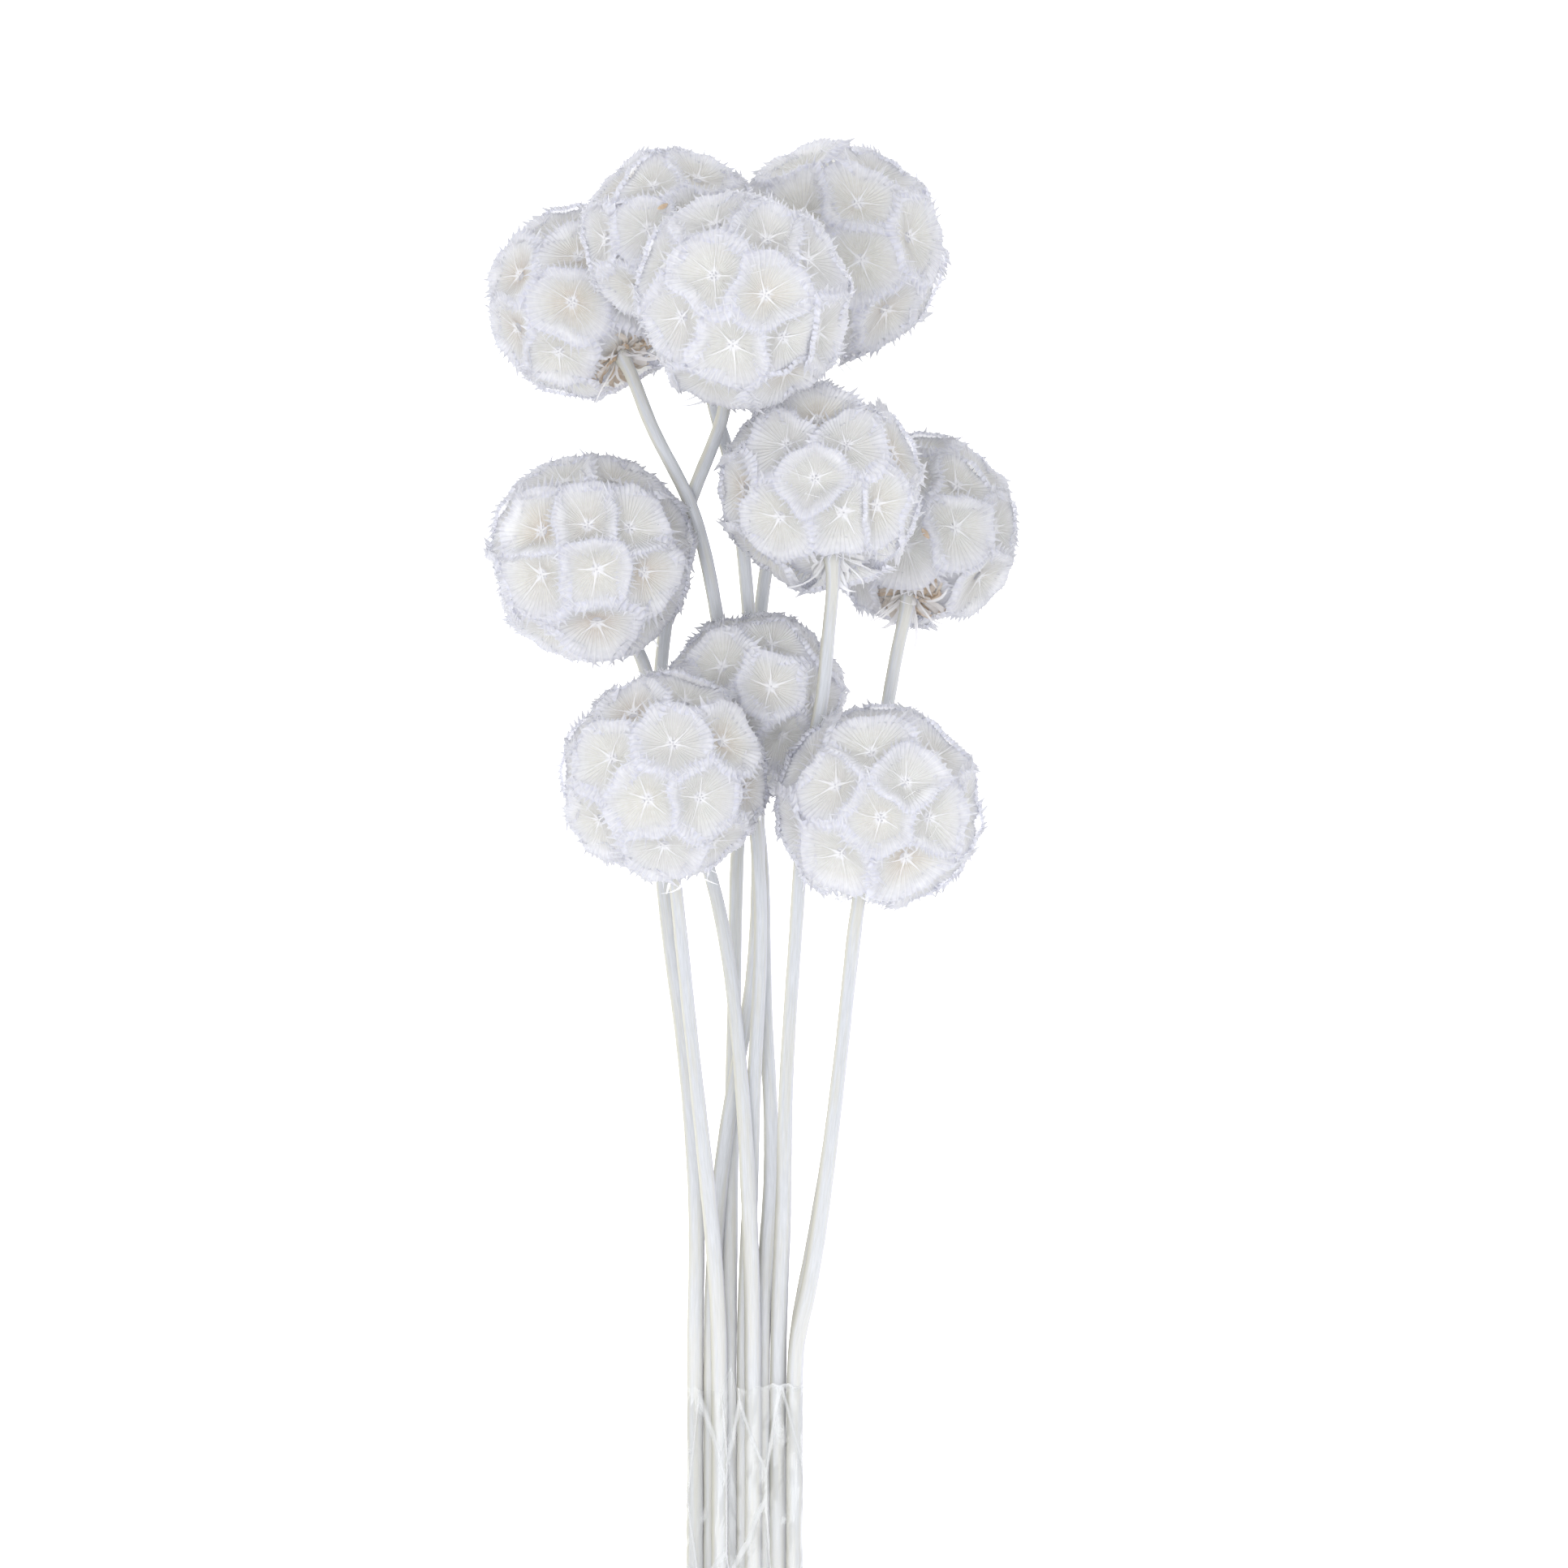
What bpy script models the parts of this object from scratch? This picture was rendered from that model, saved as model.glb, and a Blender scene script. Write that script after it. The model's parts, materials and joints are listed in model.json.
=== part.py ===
"""A bunch of dried white scabiosa seed heads, lying on its side, its stems held in a sleeve of clear film.

Metres, +Z up. The bunch lies along Y with its heads at +Y, and rests on z = 0. The origin is below
the middle of the bunch. Lengths that are written in millimetres are turned into metres by MM.
"""

import math

import bmesh
import bpy
import numpy as np
from mathutils import Vector

MM = 0.001
GAP = 0.3

# One entry for each head: its middle and its radius, the way its top points (away from its stem),
# and where the bottoms of its front saucers lie, across and up from the middle. A head that rests on
# the surface has a saucer that faces straight down.
HEADS = {
    "head_01": {
        "middle": (-36.6, 163.2, 19.7),
        "radius": 21.2,
        "top": (-0.49, 0.68, -0.50),
        "rests": True,
        "saucers": [(-1.0, 9.5), (-2.3, -0.3), (-5.2, -10.6), (-13.5, 5.5), (-14.0, -5.5)],
    },
    "head_02": {
        "middle": (-17.1, 176.4, 46.5),
        "radius": 19.8,
        "top": (-0.3, 0.85, 0.35),
        "saucers": [(-5.3, 1.8), (5.2, 12.5), (-8.0, -10.5), (-10.5, 11.0)],
    },
    "head_03": {
        "middle": (-2.0, 162.8, 78.0),
        "radius": 23.6,
        "top": (0.15, 0.80, 0.50),
        "saucers": [
            (-6.1, 4.7), (4.6, 0.7), (-2.1, -9.8), (-5.8, 15.6), (4.9, 12.4),
            (15.6, -7.0), (13.5, 8.2), (8.8, -15.2), (-12.8, -3.9),
        ],
    },
    "head_04": {
        "middle": (17.8, 174.0, 21.8),
        "radius": 24.1,
        "top": (0.20, 0.95, 0.10),
        "rests": True,
        "saucers": [(4.7, 10.1), (15.7, 3.0), (5.4, -1.9), (10.7, -12.4), (-7.5, 18.0)],
    },
    "head_05": {
        "middle": (14.8, 122.7, 57.5),
        "radius": 22.4,
        "top": (-0.12, 0.75, -0.45),
        "saucers": [
            (-1.4, 1.7), (-8.8, -6.3), (-0.7, 14.2), (5.2, 8.7), (11.5, -3.7), (-7.4, 8.7), (4.5, -5.3),
        ],
    },
    "head_06": {
        "middle": (36.0, 114.0, 19.9),
        "radius": 21.4,
        "top": (0.13, 0.86, -0.49),
        "rests": True,
        "saucers": [(7.5, 0.2), (12.0, 12.0), (12.5, -10.0), (-2.0, 11.0)],
    },
    "head_07": {
        "middle": (-34.9, 107.8, 46.0),
        "radius": 22.6,
        "top": (-0.40, 0.82, 0.40),
        "saucers": [
            (1.4, -2.6), (-0.5, 6.6), (8.2, 6.1), (11.2, -3.3), (1.4, -13.7),
            (-10.2, -3.7), (-10.2, 5.4), (-8.6, -15.9), (-5.4, 15.8), (5.0, 15.9),
        ],
    },
    "head_08": {
        "middle": (-0.1, 76.1, 42.0),
        "radius": 20.3,
        "top": (0.0, 0.90, 0.40),
        "saucers": [(-6.3, 7.9), (3.9, 3.7), (6.8, -7.2), (13.0, 10.0)],
    },
    "head_09": {
        "middle": (-19.2, 60.4, 70.0),
        "radius": 22.6,
        "top": (-0.10, 0.90, 0.40),
        "saucers": [
            (2.1, 7.0), (-3.2, -4.6), (7.7, -4.2), (-10.7, 4.0),
            (-6.3, 13.5), (12.4, 7.5), (0.2, -14.2), (-13.3, -8.9),
        ],
    },
    "head_10": {
        "middle": (27.2, 54.2, 66.5),
        "radius": 22.4,
        "top": (0.22, 0.97, 0.05),
        "saucers": [
            (0.2, -2.4), (-1.8, 11.4), (5.4, 5.1), (-9.1, 4.4), (-8.1, -9.8), (10.3, -2.4), (5.4, -10.7),
        ],
    },
}

# The middle line of each stem between its head and the sleeve, then its place in the sleeve:
# the column across and the layer up.
STEMS = {
    "stem_01": {
        "route": [
            (-22.5, 136.5, 37.5), (-14.0, 121.5, 41.0), (-10.2, 108.5, 37.5), (-7.6, 94.5, 29.0),
            (-5.4, 79.0, 19.5), (-1.2, 62.0, 13.5), (2.0, 45.0, 11.0), (2.6, 12.0, 9.5), (4.2, -24.0, 6.0),
        ],
        "slot": (4, 0),
    },
    "stem_02": {
        "route": [
            (-8.9, 140.5, 37.5), (-4.4, 128.5, 33.5), (-1.8, 107.0, 27.0), (0.4, 79.0, 18.8),
            (1.2, 50.0, 15.4), (0.5, 20.0, 13.6), (-5.2, -12.0, 8.8), (-8.0, -36.0, 5.2),
        ],
        "slot": (1, 0),
    },
    "stem_03": {
        "route": [
            (-6.8, 136.0, 49.5), (-13.6, 120.5, 34.5), (-16.8, 106.0, 28.0), (-19.4, 90.0, 23.0),
            (-20.6, 70.0, 19.0), (-19.4, 36.0, 14.0), (-14.8, 0.0, 9.0), (-12.3, -32.0, 4.8),
        ],
        "slot": (0, 0),
    },
    "stem_04": {
        "route": [
            (12.0, 140.0, 19.5), (5.0, 118.0, 17.5), (1.8, 98.0, 14.5), (-0.6, 74.0, 10.6),
            (-3.4, 48.0, 8.2), (-3.9, 18.0, 6.4), (-4.6, -12.0, 4.2),
        ],
        "slot": (2, 0),
    },
    "stem_05": {
        "route": [
            (16.2, 92.0, 62.0), (15.0, 76.0, 57.6), (11.2, 60.0, 50.6), (10.4, 44.0, 45.0), (8.8, 20.0, 36.0),
            (7.2, -4.0, 25.0), (6.6, -34.0, 11.5),
        ],
        "slot": (5, 0),
    },
    "stem_06": {
        "route": [
            (31.6, 90.0, 30.0), (29.1, 76.0, 27.0), (25.0, 50.0, 21.0), (20.6, 14.0, 15.5),
            (17.0, -18.0, 10.5), (12.4, -46.0, 5.6),
        ],
        "slot": (6, 0),
    },
    "stem_07": {
        "route": [
            (-23.6, 85.6, 35.5), (-20.6, 74.0, 32.5), (-16.4, 60.0, 29.5), (-8.4, 38.0, 24.5),
            (-4.2, 14.0, 19.5), (-1.6, -16.0, 15.0), (-0.3, -44.0, 10.0),
        ],
        "slot": (3.5, 1),
    },
    "stem_08": {
        "route": [
            (0.2, 54.0, 31.0), (1.8, 34.0, 24.0), (1.4, 14.0, 19.0), (0.2, -6.0, 13.2), (-0.4, -28.0, 7.4),
        ],
        "slot": (3, 0),
    },
    "stem_09": {
        "route": [
            (-16.2, 34.0, 55.0), (-13.6, 8.0, 40.0), (-10.8, -18.0, 25.5), (-8.2, -44.0, 12.0),
        ],
        "slot": (1.5, 1),
    },
    "stem_10": {
        "route": [
            (20.8, 18.0, 52.0), (17.9, -9.0, 36.5), (14.9, -34.0, 21.0), (11.7, -53.0, 11.0),
        ],
        "slot": (6, 1),
    },
}

# Heights in a head are shares of its radius.
SAUCERS_PER_HEAD = 25
GROOVE_FLOOR = 0.66
RIM_LOWEST = 0.977
RIM_GAP = math.radians(0.9)
CORNER_DRAW_IN = 0.92
SHORT_SIDE = math.radians(9)
AWNS = 5
AWN_TIP_ANGLE = math.radians(12.5)
AWN_TIP_HEIGHT = 0.92
DISH_ANGLE = math.radians(7)
DISH_HEIGHT = 0.79
CUP_HEIGHT = 0.83

NECK_HEIGHT = 0.74
NECK_SIDES = 8
NECK_RADIUS = 2.3
BRACT_REACH = 0.72
BRACT_TIP_HEIGHT = 0.97
BRACT_ROOT_HEIGHT = 0.72

# How the saucers that face away from the view are spread over the rest of a head.
LATTICE_POINTS = 700
NECK_CLEARING = math.radians(12)
NECK_WEIGHT = 1.8
SPREAD_ROUNDS = 60
SPREAD_STEP = 0.004
LEAST_FACING = 0.2

STEM_TOP_RADIUS = 1.45
STEM_FOOT_RADIUS = 1.65
STEPS_PER_SPAN = 2
NECK_LEAD = 3.0
STRAIGHT_LEAD = 8.0
CUT_END = -197.6
CUT_STEP = 2.2
CUT_LENGTHS = 3

SLEEVE_TOP = -72.0
SLEEVE_FOOT = -168.0
SLEEVE_WALL = 0.6
SLEEVE_X = -1.75
SLEEVE_WAVE = 1.2
SLEEVE_WAVE_LENGTH = 25.0
SHOULDER_STEPS = 4
COLUMNS = 7
COLUMN_PITCH = 2 * STEM_FOOT_RADIUS + GAP
LAYER_RISE = 3.65
TOP_LAYER_FIRST = 1.5
TOP_LAYER_LAST = 6

SEED_COAT = (0.86, 0.85, 0.82, 1)
STEM_WHITE = (0.80, 0.79, 0.74, 1)
FILM_CLEAR = (0.93, 0.94, 0.95, 1)


def unit(values):
    values = np.asarray(values, float)
    return values / np.linalg.norm(values)


def material(name, colour, roughness, alpha=1.0):
    made = bpy.data.materials.new(name)
    made.use_nodes = True
    shader = made.node_tree.nodes["Principled BSDF"]
    shader.inputs["Base Color"].default_value = colour
    shader.inputs["Roughness"].default_value = roughness
    shader.inputs["Metallic"].default_value = 0.0
    shader.inputs["Alpha"].default_value = alpha
    return made


def sphere_lattice(count):
    """Evenly spread directions, on a spiral from pole to pole."""
    index = np.arange(count) + 0.5
    height = 1 - 2 * index / count
    turn = index * math.pi * (3 - math.sqrt(5))
    across = np.sqrt(1 - height**2)
    return np.stack([across * np.cos(turn), across * np.sin(turn), height], axis=1)


def saucer_directions(head):
    """Directions of the neck and of the saucers: the front ones as listed, the rest spread evenly."""
    depth = DISH_HEIGHT * head["radius"]
    directions = [-unit(head["top"])]
    for across, up in head["saucers"]:
        toward = math.sqrt(max(depth**2 - across**2 - up**2, (LEAST_FACING * depth) ** 2))
        directions.append(unit((across, up, toward)))
    if head.get("rests"):
        directions.append(np.array((0.0, 0.0, -1.0)))
    kept = len(directions)
    lattice = sphere_lattice(LATTICE_POINTS)
    while len(directions) < SAUCERS_PER_HEAD + 1:
        angles = np.arccos(np.clip(lattice @ np.array(directions).T, -1, 1))
        angles[:, 0] -= NECK_CLEARING
        directions.append(lattice[angles.min(axis=1).argmax()])
    directions = np.array(directions)
    weight = np.ones(len(directions))
    weight[0] = NECK_WEIGHT
    for _ in range(SPREAD_ROUNDS):
        apart = directions[kept:, None] - directions[None]
        distance = np.linalg.norm(apart, axis=2)
        distance[distance < 1e-6] = np.inf
        push = (apart * (weight / distance**4)[:, :, None]).sum(axis=1)
        moved = directions[kept:] + SPREAD_STEP * push
        directions[kept:] = moved / np.linalg.norm(moved, axis=1)[:, None]
    return directions


def azimuth_frame(axis):
    """Two directions square to an axis and to each other, from which azimuths round it are counted."""
    side = unit(np.cross(axis, np.eye(3)[np.abs(axis).argmin()]))
    return side, np.cross(axis, side)


def turned_from(axis, side, other, azimuth, angle):
    """The direction at an angle from an axis, on the side that the azimuth gives."""
    return math.cos(angle) * axis + math.sin(angle) * (math.cos(azimuth) * side + math.sin(azimuth) * other)


def cells_round(directions):
    """For each direction, the corners and side middles of the cell of the sphere that is nearest to it."""
    hull = bmesh.new()
    for direction in directions:
        hull.verts.new(direction)
    bmesh.ops.convex_hull(hull, input=hull.verts)
    bmesh.ops.triangulate(hull, faces=hull.faces)
    hull.verts.ensure_lookup_table()
    hull.faces.index_update()
    points, cells = [], [[] for _ in directions]
    for face in hull.faces:
        corner = np.array(face.normal)
        corner *= np.sign(corner @ np.array(face.calc_center_median()))
        points.append((corner, True))
        for vert in face.verts:
            cells[vert.index].append(face.index)
    for edge in hull.edges:
        first, second = (points[face.index][0] for face in edge.link_faces)
        if math.acos(np.clip(first @ second, -1, 1)) < SHORT_SIDE:
            continue
        for vert in edge.verts:
            cells[vert.index].append(len(points))
        points.append((unit(first + second), False))
    hull.free()
    return points, cells


def bridge(mesh, outer, inner):
    """Triangles between two closed rings of (azimuth, vertex), each in order of azimuth."""
    start = min(range(len(inner)), key=lambda i: (inner[i][0] - outer[0][0]) % math.tau)
    inner = inner[start:] + inner[:start]
    first = outer[0][0]
    rings = []
    for ring in (outer, inner):
        opened = [((azimuth - first) % math.tau, vert) for azimuth, vert in ring]
        rings.append(opened + [(opened[0][0] + math.tau, opened[0][1])])
    outer, inner = rings
    i = j = 0
    while i < len(outer) - 1 or j < len(inner) - 1:
        if j == len(inner) - 1 or (i < len(outer) - 1 and outer[i + 1][0] <= inner[j + 1][0]):
            mesh.faces.new((outer[i][1], outer[i + 1][1], inner[j][1]))
            i += 1
        else:
            mesh.faces.new((outer[i][1], inner[j + 1][1], inner[j][1]))
            j += 1


def fan(mesh, ring, middle):
    for (_, first), (_, second) in zip(ring, ring[1:] + ring[:1]):
        mesh.faces.new((first, second, middle))


def saucer(mesh, place, axis, edge, points, draw):
    """A dished saucer: a wall up from the groove round it, a rim, and a dish with a five-armed star in it."""
    side, other = azimuth_frame(axis)
    rim = []
    for azimuth, _, index in edge:
        boundary, is_corner = points[index]
        angle = math.acos(np.clip(axis @ boundary, -1, 1))
        angle = angle * CORNER_DRAW_IN if is_corner else angle - RIM_GAP
        height = draw.uniform(RIM_LOWEST, 1)
        direction = turned_from(axis, side, other, azimuth, angle)
        rim.append((azimuth, mesh.verts.new(place(direction * height))))
    grooves = [(azimuth, groove) for azimuth, groove, _ in edge]
    for k in range(len(rim)):
        after = (k + 1) % len(rim)
        mesh.faces.new((grooves[k][1], grooves[after][1], rim[after][1]))
        mesh.faces.new((grooves[k][1], rim[after][1], rim[k][1]))
    star = []
    turn = draw.random() * math.tau
    for k in range(2 * AWNS):
        angle, height = (DISH_ANGLE, DISH_HEIGHT) if k % 2 else (AWN_TIP_ANGLE, AWN_TIP_HEIGHT)
        azimuth = (turn + k * math.pi / AWNS) % math.tau
        direction = turned_from(axis, side, other, azimuth, angle)
        star.append((azimuth, mesh.verts.new(place(direction * height))))
    star.sort(key=lambda item: item[0])
    bridge(mesh, rim, star)
    fan(mesh, star, mesh.verts.new(place(axis * CUP_HEIGHT)))


def neck(mesh, place, axis, edge, points, radius):
    """The bare underside round the stem: a ring of hooked bracts, then a flat seat for the stem."""
    side, other = azimuth_frame(axis)
    bracts = []
    for k, (azimuth, _, index) in enumerate(edge):
        angle = BRACT_REACH * math.acos(np.clip(axis @ points[index][0], -1, 1))
        height = BRACT_ROOT_HEIGHT if k % 2 else BRACT_TIP_HEIGHT
        direction = turned_from(axis, side, other, azimuth, angle)
        bracts.append((azimuth, mesh.verts.new(place(direction * height))))
    bridge(mesh, [(azimuth, groove) for azimuth, groove, _ in edge], bracts)
    seat = []
    spread = math.atan(NECK_RADIUS / (NECK_HEIGHT * radius))
    for k in range(NECK_SIDES):
        azimuth = (k + 0.5) * math.tau / NECK_SIDES
        direction = turned_from(axis, side, other, azimuth, spread) / math.cos(spread)
        seat.append((azimuth, mesh.verts.new(place(direction * NECK_HEIGHT))))
    bridge(mesh, bracts, seat)
    fan(mesh, seat, mesh.verts.new(place(axis * NECK_HEIGHT)))


def nearest_on(line, point):
    """The point of a line of points that is nearest to a point."""
    best = None
    for start, end in zip(line[:-1], line[1:]):
        along = np.clip((point - start) @ (end - start) / ((end - start) @ (end - start)), 0, 1)
        found = start + along * (end - start)
        if best is None or np.linalg.norm(found - point) < np.linalg.norm(best - point):
            best = found
    return best


def planes_pressing(name):
    """The planes that flatten a head where another head or a stem presses on it."""
    head = HEADS[name]
    middle, radius = np.array(head["middle"]), head["radius"]
    planes = []
    for other_name, other in HEADS.items():
        across = np.array(other["middle"]) - middle
        distance = np.linalg.norm(across)
        if other_name != name and distance < radius + other["radius"] + GAP:
            to_plane = (distance**2 + radius**2 - other["radius"] ** 2) / (2 * distance)
            planes.append((across / distance, to_plane - GAP / 2))
    for stem_name in STEMS:
        if stem_name[-2:] == name[-2:]:
            continue
        across = nearest_on(stem_line(stem_name), middle) - middle
        distance = np.linalg.norm(across)
        if distance < radius + STEM_FOOT_RADIUS + GAP:
            planes.append((across / distance, distance - STEM_FOOT_RADIUS - GAP))
    return planes


def head_mesh(name):
    """One head as one closed surface round its middle: saucer beside saucer, and the neck below."""
    head = HEADS[name]
    middle, radius = np.array(head["middle"]), head["radius"]
    planes = planes_pressing(name)

    def place(scaled):
        direction = unit(scaled)
        reach = radius
        for normal, distance in planes:
            if direction @ normal > 1e-6:
                reach = min(reach, distance / (direction @ normal))
        point = middle + scaled * reach
        return Vector((point[0], point[1], max(point[2], 0))) * MM

    draw = np.random.default_rng(int(name[-2:]))
    directions = saucer_directions(head)
    points, cells = cells_round(directions)
    mesh = bmesh.new()
    grooves = [mesh.verts.new(place(direction * GROOVE_FLOOR)) for direction, _ in points]
    for number, (axis, cell) in enumerate(zip(directions, cells)):
        side, other = azimuth_frame(axis)
        edge = []
        for index in cell:
            direction = points[index][0]
            azimuth = math.atan2(direction @ other, direction @ side) % math.tau
            edge.append((azimuth, grooves[index], index))
        edge.sort(key=lambda item: item[0])
        if number == 0:
            neck(mesh, place, axis, edge, points, radius)
        else:
            saucer(mesh, place, axis, edge, points, draw)
    return mesh


def slot_place(slot):
    """Across and up in the sleeve, for a column and a layer."""
    column, layer = slot
    across = SLEEVE_X + (column - (COLUMNS - 1) / 2) * COLUMN_PITCH
    return across, SLEEVE_WALL + GAP + STEM_FOOT_RADIUS + layer * LAYER_RISE


def smooth_line(points, steps, start_way, end_way):
    """Points along a smooth curve through the given ones, which starts and ends along the given ways."""
    first_span = np.linalg.norm(points[1] - points[0])
    last_span = np.linalg.norm(points[-1] - points[-2])
    before_first = points[1] - 2 * first_span * start_way
    after_last = points[-2] + 2 * last_span * end_way
    points = [before_first] + list(points) + [after_last]
    line = []
    for before, start, end, after in zip(points, points[1:], points[2:], points[3:]):
        for step in range(steps):
            t = step / steps
            line.append(
                start
                + 0.5 * t * (end - before)
                + t**2 * (before - 2.5 * start + 2 * end - 0.5 * after)
                + t**3 * (1.5 * (start - end) + 0.5 * (after - before))
            )
    line.append(points[-2])
    return line


def stem_line(name):
    """The middle line of a stem, from just below its head to its cut end."""
    head, stem = HEADS["head" + name[4:]], STEMS[name]
    down = -unit(head["top"])
    seat = np.array(head["middle"]) + down * (NECK_HEIGHT * head["radius"] + GAP)
    across, up = slot_place(stem["slot"])
    cut = CUT_END + CUT_STEP * (int(name[-2:]) % CUT_LENGTHS)
    bent = [seat + NECK_LEAD * down] + [np.array(point) for point in stem["route"]]
    bent.append(np.array((across, SLEEVE_TOP + STRAIGHT_LEAD, up)))
    straight_down = np.array((0, -1, 0))
    return [seat] + smooth_line(bent, STEPS_PER_SPAN, down, straight_down) + [np.array((across, cut, up))]


def add_stem(name, finish):
    line = stem_line(name)
    curve = bpy.data.curves.new(name, "CURVE")
    curve.dimensions = "3D"
    curve.bevel_depth = MM
    curve.bevel_resolution = 2
    curve.use_fill_caps = True
    spline = curve.splines.new("POLY")
    spline.points.add(len(line) - 1)
    for number, (point, place) in enumerate(zip(spline.points, line)):
        share = number / (len(line) - 1)
        point.co = (*(place * MM), 1)
        point.radius = STEM_TOP_RADIUS + share * (STEM_FOOT_RADIUS - STEM_TOP_RADIUS)
    curve.materials.append(finish)
    return bpy.data.objects.new(name, curve)


def add_head(name, finish):
    shape = head_mesh(name)
    mesh = bpy.data.meshes.new(name)
    shape.to_mesh(mesh)
    shape.free()
    mesh.shade_smooth()
    mesh.set_sharp_from_angle(angle=math.radians(40))
    mesh.materials.append(finish)
    return bpy.data.objects.new(name, mesh)


def sleeve_outline(grow):
    """The film's section: flat below, over two layers of stems, with round shoulders."""
    reach = STEM_FOOT_RADIUS + GAP + grow
    left = slot_place((0, 0))
    right = slot_place((COLUMNS - 1, 0))
    top_left = slot_place((TOP_LAYER_FIRST, 1))
    top_right = slot_place((TOP_LAYER_LAST, 1))
    left_shoulder = 180 - math.degrees(math.atan2(top_left[0] - left[0], LAYER_RISE))
    right_shoulder = math.degrees(math.atan2(right[0] - top_right[0], LAYER_RISE))
    turns = (
        (right, -90, right_shoulder),
        (top_right, right_shoulder, 90),
        (top_left, 90, left_shoulder),
        (left, left_shoulder, 270),
    )
    outline = []
    for (across, up), first, last in turns:
        for step in range(SHOULDER_STEPS + 1):
            angle = math.radians(first + (last - first) * step / SHOULDER_STEPS)
            outline.append((across + reach * math.cos(angle), up + reach * math.sin(angle)))
    return outline


def add_sleeve(finish):
    """The film, as a closed wall round the stems that is open at both ends."""
    mesh = bmesh.new()
    rings = []
    for grow, ends in ((SLEEVE_WALL, (SLEEVE_TOP, SLEEVE_FOOT)), (0.0, (SLEEVE_FOOT, SLEEVE_TOP))):
        for end in ends:
            wave = SLEEVE_WAVE if end == SLEEVE_TOP else 0.0
            ring = []
            for across, up in sleeve_outline(grow):
                along = end + wave * math.sin(math.tau * (across - SLEEVE_X) / SLEEVE_WAVE_LENGTH)
                ring.append(mesh.verts.new(Vector((across, along, up)) * MM))
            rings.append(ring)
    for ring, following in zip(rings, rings[1:] + rings[:1]):
        for k in range(len(ring)):
            after = (k + 1) % len(ring)
            mesh.faces.new((ring[k], ring[after], following[after], following[k]))
    bmesh.ops.recalc_face_normals(mesh, faces=mesh.faces)
    data = bpy.data.meshes.new("film_sleeve")
    mesh.to_mesh(data)
    mesh.free()
    data.shade_smooth()
    data.set_sharp_from_angle(angle=math.radians(35))
    data.materials.append(finish)
    return bpy.data.objects.new("film_sleeve", data)


def main():
    for existing in list(bpy.data.objects):
        bpy.data.objects.remove(existing)
    bunch = bpy.data.collections.new("scabiosa_bunch")
    bpy.context.scene.collection.children.link(bunch)
    seed_coat = material("dried_seed_head", SEED_COAT, 0.8)
    stem_white = material("dried_stem", STEM_WHITE, 0.7)
    film = material("clear_film", FILM_CLEAR, 0.2, 0.35)
    for name in HEADS:
        bunch.objects.link(add_head(name, seed_coat))
    for name in STEMS:
        bunch.objects.link(add_stem(name, stem_white))
    bunch.objects.link(add_sleeve(film))


main()
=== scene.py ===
"""The looks of a bunch of dried white scabiosa seed heads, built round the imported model.

Points are in millimetres in the model's frame, and turn into metres when a mesh is made. Inside a
head, a point is a direction from its middle times a height, which is a share of the head's radius.
"""

import json
import math

import bpy
import numpy as np
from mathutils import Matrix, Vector

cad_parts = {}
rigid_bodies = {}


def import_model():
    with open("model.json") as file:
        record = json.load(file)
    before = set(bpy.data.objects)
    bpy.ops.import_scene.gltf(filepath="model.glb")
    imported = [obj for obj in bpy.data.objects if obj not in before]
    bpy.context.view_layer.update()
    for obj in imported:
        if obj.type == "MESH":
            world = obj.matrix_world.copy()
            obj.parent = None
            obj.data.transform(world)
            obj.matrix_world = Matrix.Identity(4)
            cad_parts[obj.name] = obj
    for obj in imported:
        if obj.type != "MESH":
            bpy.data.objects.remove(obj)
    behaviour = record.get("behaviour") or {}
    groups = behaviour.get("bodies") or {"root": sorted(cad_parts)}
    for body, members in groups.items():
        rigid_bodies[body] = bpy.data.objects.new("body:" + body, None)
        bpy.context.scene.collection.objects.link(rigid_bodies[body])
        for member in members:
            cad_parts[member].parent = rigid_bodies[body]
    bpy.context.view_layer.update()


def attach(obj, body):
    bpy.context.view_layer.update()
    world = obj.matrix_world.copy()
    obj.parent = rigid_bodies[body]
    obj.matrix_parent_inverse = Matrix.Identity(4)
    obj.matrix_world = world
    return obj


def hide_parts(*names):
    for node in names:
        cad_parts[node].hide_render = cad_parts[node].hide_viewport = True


MM = 0.001
TURN = 2 * math.pi
GAP = 0.3

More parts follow.
